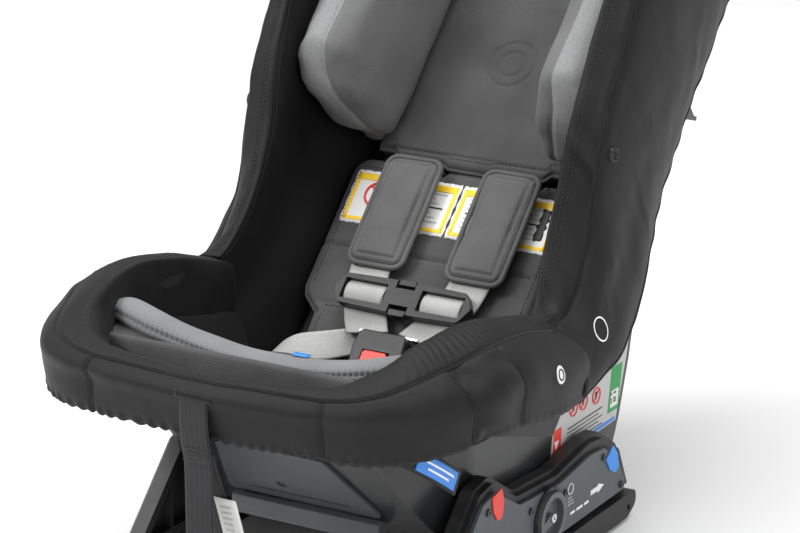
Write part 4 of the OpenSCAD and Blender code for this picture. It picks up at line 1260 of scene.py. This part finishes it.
def make_shoulder_pad(side):
    name = SIDES[side]
    centre = 52 if side > 0 else -43
    foot, top = 89, 193
    half = rounded_widths([(foot, 25.5), (top, 25.5)], 9)
    pad = Pad(half, lambda x: foot + 0 * np.asarray(x, float), lambda x: top + 0 * np.asarray(x, float),
              17.2, 13.5, 6.5, 2.2, None, centre)
    obj, front = pad.build("shoulder_pad_%s_cloth" % name, 90, 50)
    inflate(obj, 3.2, 5.0, 2.5)
    co = vertices(obj)
    rel = (co - BIGHT) / MM
    l, x, d = rel @ UP_BACK, rel[:, 0] - centre, rel @ OFF_BACK
    near = np.minimum(half(l) - np.abs(x), np.minimum(l - foot, top - l))
    groove = bump(near, 6.5, 1.3) * ramp(d, 9, 14)
    n = mesh_normals(obj)
    set_vertices(obj, co - n * (1.5 * MM * groove - 0.3 * MM * lumps(co, 0.02, 80 + side))[:, None])
    put(obj, "pad_" + name, PAD_TWILL, ["shoulder_pad_" + name])
    loop = edge_loop(front, 260)
    out = loop - back(centre, 139.5, 10)
    out = unit(out - OFF_BACK * (out @ OFF_BACK)[:, None])
    binding = tube("shoulder_pad_%s_binding" % name, loop + out * 0.8 * MM + OFF_BACK * 2.1 * MM, 2.5 * MM, 8,
                   closed=True, flat=1.0)
    put(binding, "pad_" + name, BINDING_LIGHT)


def make_hip_plates():
    """Steel anchors of the lap straps, sunk beside the cushion"""
    parts = []
    for side in (-1, 1):
        outline = rounded([(2, -22, 3), (30, -22, 3), (30, -5, 5), (2, -5, 5)])
        plate = slab("plate", outline, lambda a, b, c, side=side: seat(side * (109.5 + c), a, b), 0, 2.5)
        add_bevel(plate, 0.5 * MM, 2)
        apply_modifiers(plate)
        parts.append(dress(plate, STEEL))
    put(join("hip_anchor_plates", parts), "seat", replaces=["hip_plates"])


# ---- adjuster strap, hanging under the front of the rim -------------------
def on_front(x, z, lift):
    """Points on the front face of the rim's cloth at given places seen from the front"""
    columns = slice(int(section_position(2)), int(section_position(6)))
    grid, normals = rim_p[:, columns].reshape(-1, 3), rim_n[:, columns].reshape(-1, 3)
    face = grid[:, 1] < level(0, -340, 0)[1]
    grid, normals = grid[face], normals[face]
    out = []
    for target in level(x, 0, z)[..., [0, 2]]:
        dist = np.linalg.norm(grid[:, [0, 2]] - target, axis=1)
        near = np.argsort(dist)[:8]
        weight = 1 / (dist[near] + 1e-5)
        weight /= weight.sum()
        out.append(((grid[near] + normals[near] * lift) * weight[:, None]).sum(0))
    return np.array(out)


def make_pull_loop():
    y = [-352, -362, -373.2, -376.4, -375.2, -370.8, -370.5, -370.2, -369, -364, -356, -347, -339, -334.4,
         -334, -335, -338, -345, -352, -360, -366, -369]
    z = [237.5, 238.2, 237.6, 231, 204, 182, 140, 100, 72, 50, 43.5, 43.5, 50, 62, 80,
         96, 112, 132, 150, 168, 182, 191]
    spine = level(0, np.array(y, float), np.array(z, float))
    strap("adjuster_strap_web", spine, ACROSS, 25, "seat", BLACK_WEBBING,
          ["adjuster_strap"], rows=160, thick=1.6, wander=0.4)
    x = np.linspace(-17, 17, 18)
    # dark strip laid on the front of the rim where the strap goes in: painted shade inside the slit
    lips = [on_front(x, 238.2 + h - 0.03 * x, 0.5 * MM) for h in (-1.7, -0.6, 0.5, 1.6)]
    slit_shade = cloth_grid("adjuster_slit_shade", np.stack(lips, 1), thick=0.6 * MM, out=(0, -1, 0))
    put(slit_shade, "seat", SHADE_AND_PRINT_BLACK)
    edge = on_front(x, 241.0 - 0.03 * x, 0.5 * MM)
    put(stitches("adjuster_slit_stitches", edge, 0.1 * MM, 3.0 * MM, 0.42 * MM, up=(0, -1, 0)), "seat",
        THREAD_GREY)
    rows = []
    for z in (186, 189, 192, 195):
        x = np.linspace(-11, 11, 40)
        zig = level(x, -375.6 - 0.02 * (z - 186), z + 1.2 * np.abs(((x / 1.4) % 2) - 1))
        rows.append(tube("tack", zig, 0.35 * MM, 5, up=(0, -1, 0)))
    put(join("adjuster_strap_tacks", rows), "seat", THREAD_GREY)

    def lean(z):
        return np.interp(z, [92, 96, 112, 132, 152], [-337.4, -338, -341, -348, -355.2])
    x, z = np.meshgrid(np.linspace(-10, 10, 6), np.linspace(92, 152, 20), indexing="ij")
    tag = cloth_grid("adjuster_tag", level(x + 14, lean(z) - 1.5, z), thick=0.4 * MM, out=(0, -1, 0))
    put(tag, "seat", PAPER)
    marks = []
    for z in np.arange(100, 148, 5.5):
        y = lean(z) - 2.1
        marks.append(slab("mark", box(-6, 4 - z % 3, -0.6, 0.6),
                          lambda a, b, c, y=y, z=z: level(14 + a, y - c, z + b), 0, 0.3))
    put(join("adjuster_tag_marks", marks), "seat", SILVER_FILM)


# ---- crown over the top of the back ---------------------------------------
def make_crown():
    x = np.linspace(-151, 151, 170)
    curve = spline([(14, 571), (21, 577), (24, 590), (8, 603), (-14, 608), (-34, 606), (-46, 594),
                    (-47.5, 566)], 60)
    p = np.stack(np.broadcast_arrays(x[:, None], curve[None, :, 1], curve[None, :, 0]), -1).copy()
    dip = np.clip((np.abs(x) - 100) / 51, 0, 1)[:, None] ** 1.5
    p[..., 1] -= 9 * dip
    q = back(*np.moveaxis(p, -1, 0))
    n = grid_normals(q)
    if (n * (q - back(0, 580, -12))).sum(-1).mean() < 0:
        n = -n
    puckers = np.sin(x / 8)[:, None] * bump(np.arange(60), 30, 12)
    d = 1.2 * lumps(q, 0.05, 91) + 0.5 * lumps(q, 0.017, 92) + 0.6 * puckers
    q = q + n * (d * MM)[..., None]
    put(cloth_grid("crown_cloth", q, thick=1.4 * MM), "seat", NYLON, ["crown_cover"])


# ---- prints and labels ----------------------------------------------------
def on_cloth(grid, normals, y, z, lift):
    """Points of a side panel at given places seen from the side"""
    flat = grid.reshape(-1, 3)
    m = normals.reshape(-1, 3)
    target = level(0, y, z)[..., 1:]
    out = []
    for t in target:
        dist = np.linalg.norm(flat[:, 1:] - t, axis=1)
        near = np.argsort(dist)[:10]
        near = near[np.abs(flat[near, 0]) > np.abs(flat[near, 0]).max() - 0.02]
        weight = 1 / (dist[near] + 1e-5)
        weight /= weight.sum()
        base = (flat[near] * weight[:, None]).sum(0)
        normal = (m[near] * weight[:, None]).sum(0)
        normal /= np.linalg.norm(normal)
        out.append(np.array([base[0], t[0], t[1]]) + normal * lift)
    return np.array(out)


def make_prints():
    """Plain ring printed on the right wing, and a roundel on each side of the rim"""
    columns = slice(12, wing_column(WING_SEAM) - 2)
    grid, up = (v[:, columns] for v in wings[1])
    ring_points = on_cloth(grid, up, *circle(-71, 236, 9.2, 64), 0.3 * MM)
    put(tube("side_ring_print", ring_points, 0.75 * MM, 6, closed=True, flat=0.5, up=(1, 0, 0)), "seat",
        WHITE_PRINT)
    columns = slice(int(section_position(1)), int(section_position(5)))
    for side in (-1, 1):
        name = SIDES[side]
        here = rim_p[:, 30, 0] * side > 0.15
        grid, up = rim_p[here][:, columns], rim_n[here][:, columns]
        disc = [on_cloth(grid, up, *circle(-172, 231, r, 36), 0.5 * MM) for r in (0.3, 2.6, 5.0, 7.0)]
        disc = cloth_grid("roundel_print_" + name, np.stack(disc), thick=0.3 * MM, out=(side, 0, 0),
                          wrap=True)
        put(disc, "seat", WHITE_PRINT)
        line = on_cloth(grid, up, *circle(-172, 231, 4.0, 36), 0.8 * MM)
        put(tube("roundel_ring_" + name, line, 0.7 * MM, 6, closed=True, flat=0.5, up=(1, 0, 0)), "seat",
            SHADE_AND_PRINT_BLACK)


def make_rim_tag():
    """Blue tag on a black strip that hangs from the inside of the rim at the right"""
    def place(a, b, lift):
        a, b = np.asarray(a, float), np.asarray(b, float)
        return level(158 + lift + 2.5 * np.sin(a / 76 * math.pi), -314 + 0.842 * a + 0.539 * b,
                     199 - 0.539 * a + 0.842 * b)

    def layer(name, a0, a1, b0, b1, lift, thick):
        a, b = np.meshgrid(np.linspace(a0, a1, 30), np.linspace(b0, b1, 8), indexing="ij")
        return cloth_grid(name, place(a, b, lift), thick=thick * MM, out=(1, 0, 0))
    put(layer("rim_tag_strip", -14, 80, -10, 10, 0, 1.0), "seat", NYLON)
    put(layer("rim_tag", 4, 74, -7.5, 7.5, 0.6, 0.5), "seat", BLUE_FILM)
    bars = [dress(layer("bar", a0, a1, b - 0.8, b + 0.8, 1.0, 0.3), WHITE_PRINT)
            for a0, a1, b in ((12, 66, 2.4), (20, 58, -2.4))]
    put(join("rim_tag_bars", bars), "seat")


def make_snaps():
    """Snap stud with a pressed ring on each side of the cover"""
    for side in (-1, 1):
        grid, up = (v[:, 12:wing_column(WING_SEAM) + 1] for v in wings[side])
        flat = grid.reshape(-1, 3)
        spot = back(0, 187, 90)
        near = np.argmin(np.linalg.norm((flat - spot)[:, 1:], axis=1))
        base, out = flat[near], up.reshape(-1, 3)[near]
        along = unit(np.cross(out, UP_BACK))
        over = np.cross(along, out)
        r = np.array([0, 2.2, 2.6, 3.4, 4.4, 5.2, 6.0, 6.6, 7.0]) * MM
        h = np.array([1.2, 1.2, 0.5, 0.5, 2.4, 2.6, 2.2, 1.0, -0.6]) * MM
        a = np.linspace(0, 2 * math.pi, 36, endpoint=False)
        p = (base + r[:, None, None] * (np.cos(a)[:, None] * along + np.sin(a)[:, None] * over)
             + h[:, None, None] * out)
        put(cloth_grid("snap_" + SIDES[side], p, wrap=True), "seat", HARNESS_BLACK,
            ["snap_studs"])


def make_side_labels():
    """Film with generic pictograms on both sides of the shell"""
    outline = rounded([(-30, 124, 3), (-34, 94, 3), (86, 96, 2), (105, 150, 0), (123, 222, 0), (148, 269, 0),
                       (174, 311, 2), (150, 316, 0), (-10, 200, 0)])
    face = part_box("side_labels")[1][0] / MM - 0.7
    for side in (-1, 1):
        name = SIDES[side]

        def place(a, b, c, side=side):
            return level(side * (face + c), a, b)
        parts = [dress(slab("film", outline, place, 0.0, 0.5), SILVER_FILM)]

        def bar(y0, y1, z0, z1, material, lift=0.5, lean=0.0):
            parts.append(dress(slab("mark", box(y0, y1, z0, z1, lean), place, lift, 0.25), material))
        bar(-31, -17, 97, 122, RED_FILM, lean=2)
        bar(-30, -17, 96, 101, YELLOW_FILM, 0.75)
        arrow = [(-28, 112), (-20, 112), (-25, 104)]
        parts.append(dress(slab("arrow", arrow, place, 0.75, 0.2), WHITE_PRINT))
        bar(70, 90, 106, 146, GREEN_FILM, lean=7)
        bar(74, 88, 110, 125, PAPER, 0.75, 2)
        for k in range(5):
            for m in range(5):
                if (k * 3 + m * 5 + k * m) % 3:
                    bar(75.5 + 2.4 * k, 77.2 + 2.4 * k, 111.5 + 2.5 * m, 113.3 + 2.5 * m, INK, 1.0)
        bar(44, 84, 97, 100, BLUE_FILM)
        for y, z in ((6, 132), (24, 132), (48, 130)):
            a, b = circle(y, z, 7)
            parts.append(ring("ring", place(a, b, 0.9), 0.6 * MM, RED_FILM, (1, 0, 0)))
            t = np.linspace(-1, 1, 8)
            slash = place(y + 4.8 * t, z + 4.8 * t, 0.9)
            parts.append(dress(tube("slash", slash, 0.5 * MM, 5, up=(1, 0, 0)), RED_FILM))
            bar(y - 1.8, y + 1.8, z - 3, z + 3.4, INK)
        for k in range(5):
            bar(-8 + k, 60 - 7 * (k % 2), 101 + 3.6 * k, 102.1 + 3.6 * k, INK if k == 4 else KNOB_GREY)
        for y0, y1, z0, z1, lean in ((128, 144, 272, 276, 2), (150, 168, 304, 308, 2),
                                     (141, 145, 272, 305, 21), (104, 118, 222, 225, 2)):
            bar(y0, y1, z0, z1, YELLOW_FILM, lean=lean)
        for k in range(5):
            bar(126 + 3.2 * k, 144 + 3.2 * k, 280 + 4.5 * k, 281.4 + 4.5 * k, SILVER_FILM if k % 2 else INK)
        for y, z in ((126, 248), (108, 206)):
            a, b = circle(y, z, 8)
            parts.append(ring("ring", place(a, b, 0.9), 0.55 * MM, INK, (1, 0, 0)))
            bar(y - 2.5, y + 2.5, z - 4, z + 4, KNOB_GREY)
        for k in range(6):
            bar(84 + 2 * k, 98 + 2 * k, 160 + 5 * k, 161.4 + 5 * k, KNOB_GREY)
        put(join("side_label_" + name, parts), "seat")
    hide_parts("side_labels")
    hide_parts("side_labels")


def make_base_marks():
    """Arrow, ring and bars printed on the side plates"""
    for side in (-1, 1):
        name = SIDES[side]
        x_face = abs(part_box("side_plate_" + name)[1 if side > 0 else 0][0]) / MM

        def place(a, b, c, side=side, x_face=x_face):
            return level(side * (x_face + c), a, b)
        parts = []
        for shape in (box(-5, 8, 61.4, 65.6), [(8, 59.4), (19, 63.5), (8, 67.6)]):
            parts.append(dress(slab("arrow", shape, place, 0.05, 0.3), WHITE_PRINT))
        for y0, y1 in ((-42, -34), (-31, -20), (-17, -9)):
            parts.append(dress(slab("bar", box(y0, y1, 56.5, 58.8), place, 0.05, 0.3), WHITE_PRINT))
        a, b = circle(-42, 80, 4.6)
        parts.append(ring("ring", place(a, b, 0.2), 0.45 * MM, WHITE_PRINT, (1, 0, 0)))
        for k in range(3):
            line = box(-47, -36 - 2 * k, 66 + 3 * k, 66.8 + 3 * k)
            parts.append(dress(slab("bar", line, place, 0.05, 0.25), SILVER_FILM))
        parts.append(dress(slab("mark", box(-186, -181, 56, 66), place, 0.05, 0.3), WHITE_PRINT))
        put(join("plate_marks_" + name, parts), "base")


# ---- hard parts -----------------------------------------------------------
def finish_hard_parts():
    soft_edges = {
        "pod_left": (0.8, POD_BLACK), "pod_right": (0.8, POD_BLACK),
        "side_plate_left": (0.6, SLATE), "side_plate_right": (0.6, SLATE),
        "skirt_left": (0.8, POD_BLACK), "skirt_right": (0.8, POD_BLACK),
        "plate_screws": (0.3, STEEL_DARK), "front_belt_guides": (0.5, RED), "rear_belt_guides": (0.5, BLUE),
        "knob_bezels": (0.6, HARNESS_BLACK), "knob_left": (0.6, KNOB_GREY), "knob_right": (0.6, KNOB_GREY),
        "knob_bolt_left": (0.4, CHROME), "knob_bolt_right": (0.4, CHROME),
        "belly_panel": (0.7, BELLY_GREY),
        "buckle_body": (1.6, HARNESS_BLACK), "buckle_tongues": (0.4, STEEL), "buckle_button": (1.0, RED),
        "chest_clip": (1.3, HARNESS_BLACK), "clip_tab_top": (0.7, HARNESS_BLACK),
        "clip_tab_bottom": (0.7, HARNESS_BLACK),
        "adjuster_bezel": (0.8, HARNESS_BLACK), "adjuster_lever": (0.5, STEEL_DARK),
        "splitter_plate": (0.5, STEEL), "headrest_handle": (1.2, SLATE), "recline_lever": (0.8, KNOB_GREY),
        "headrest_core": (0.5, POD_BLACK), "base_tray": (0.7, POD_BLACK), "foot_pads": (0.6, RUBBER),
    }
    for node, (width, material) in soft_edges.items():
        source = NODES[node]
        slot = source.data.materials[0].name if source.data.materials else None
        obj = soften(node, width, material)
    plain = {
        "seat_pan": POD_BLACK, "lower_shell": SHELL_GLOSS, "recline_runners": POD_BLACK,
        "recline_lock_bar": STEEL, "guide_rods": CHROME, "back_lining": LINING,
    }
    for node, material in plain.items():
        for slot in NODES[node].material_slots:
            slot.material = material


def make_rear_webbing():
    """Pale webbing behind the back, from the slots to the splitter plate and down to the adjuster"""
    for side in (-1, 1):
        l = np.array([194, 180, 165, 152, 139.0])
        spine = back(np.array([22, 20, 18, 16, 15]) * side, l, [-47.5, -47.6, -47.4, -47.2, -47.2])
        strap("rear_strap_" + SIDES[side], spine, ACROSS, 24, "seat", WEBBING,
              rows=30, wander=0.4)
    l = np.array([128, 100, 70, 45, 20.0])
    strap("rear_strap_single", back(0 * l, l, -47.4 + 0 * l), ACROSS, 28, "seat", WEBBING,
          ["rear_webbing"], rows=40, wander=0.4)


# ---- run ------------------------------------------------------------------
SCENE.view_settings.view_transform = "Standard"
make_camera()
make_studio()
rim_p, rim_n = make_rim()
wings = {side: make_wing(side) for side in (1, -1)}
make_crown()
make_lining(rim_p)
make_cushion()
make_back_pad()
make_head_pad()
for side in (-1, 1):
    make_pillow(side)
    make_shoulder_pad(side)
make_harness()
make_hip_plates()
make_pull_loop()
make_rear_webbing()
make_prints()
make_rim_tag()
make_snaps()
make_side_labels()
make_base_marks()
finish_hard_parts()
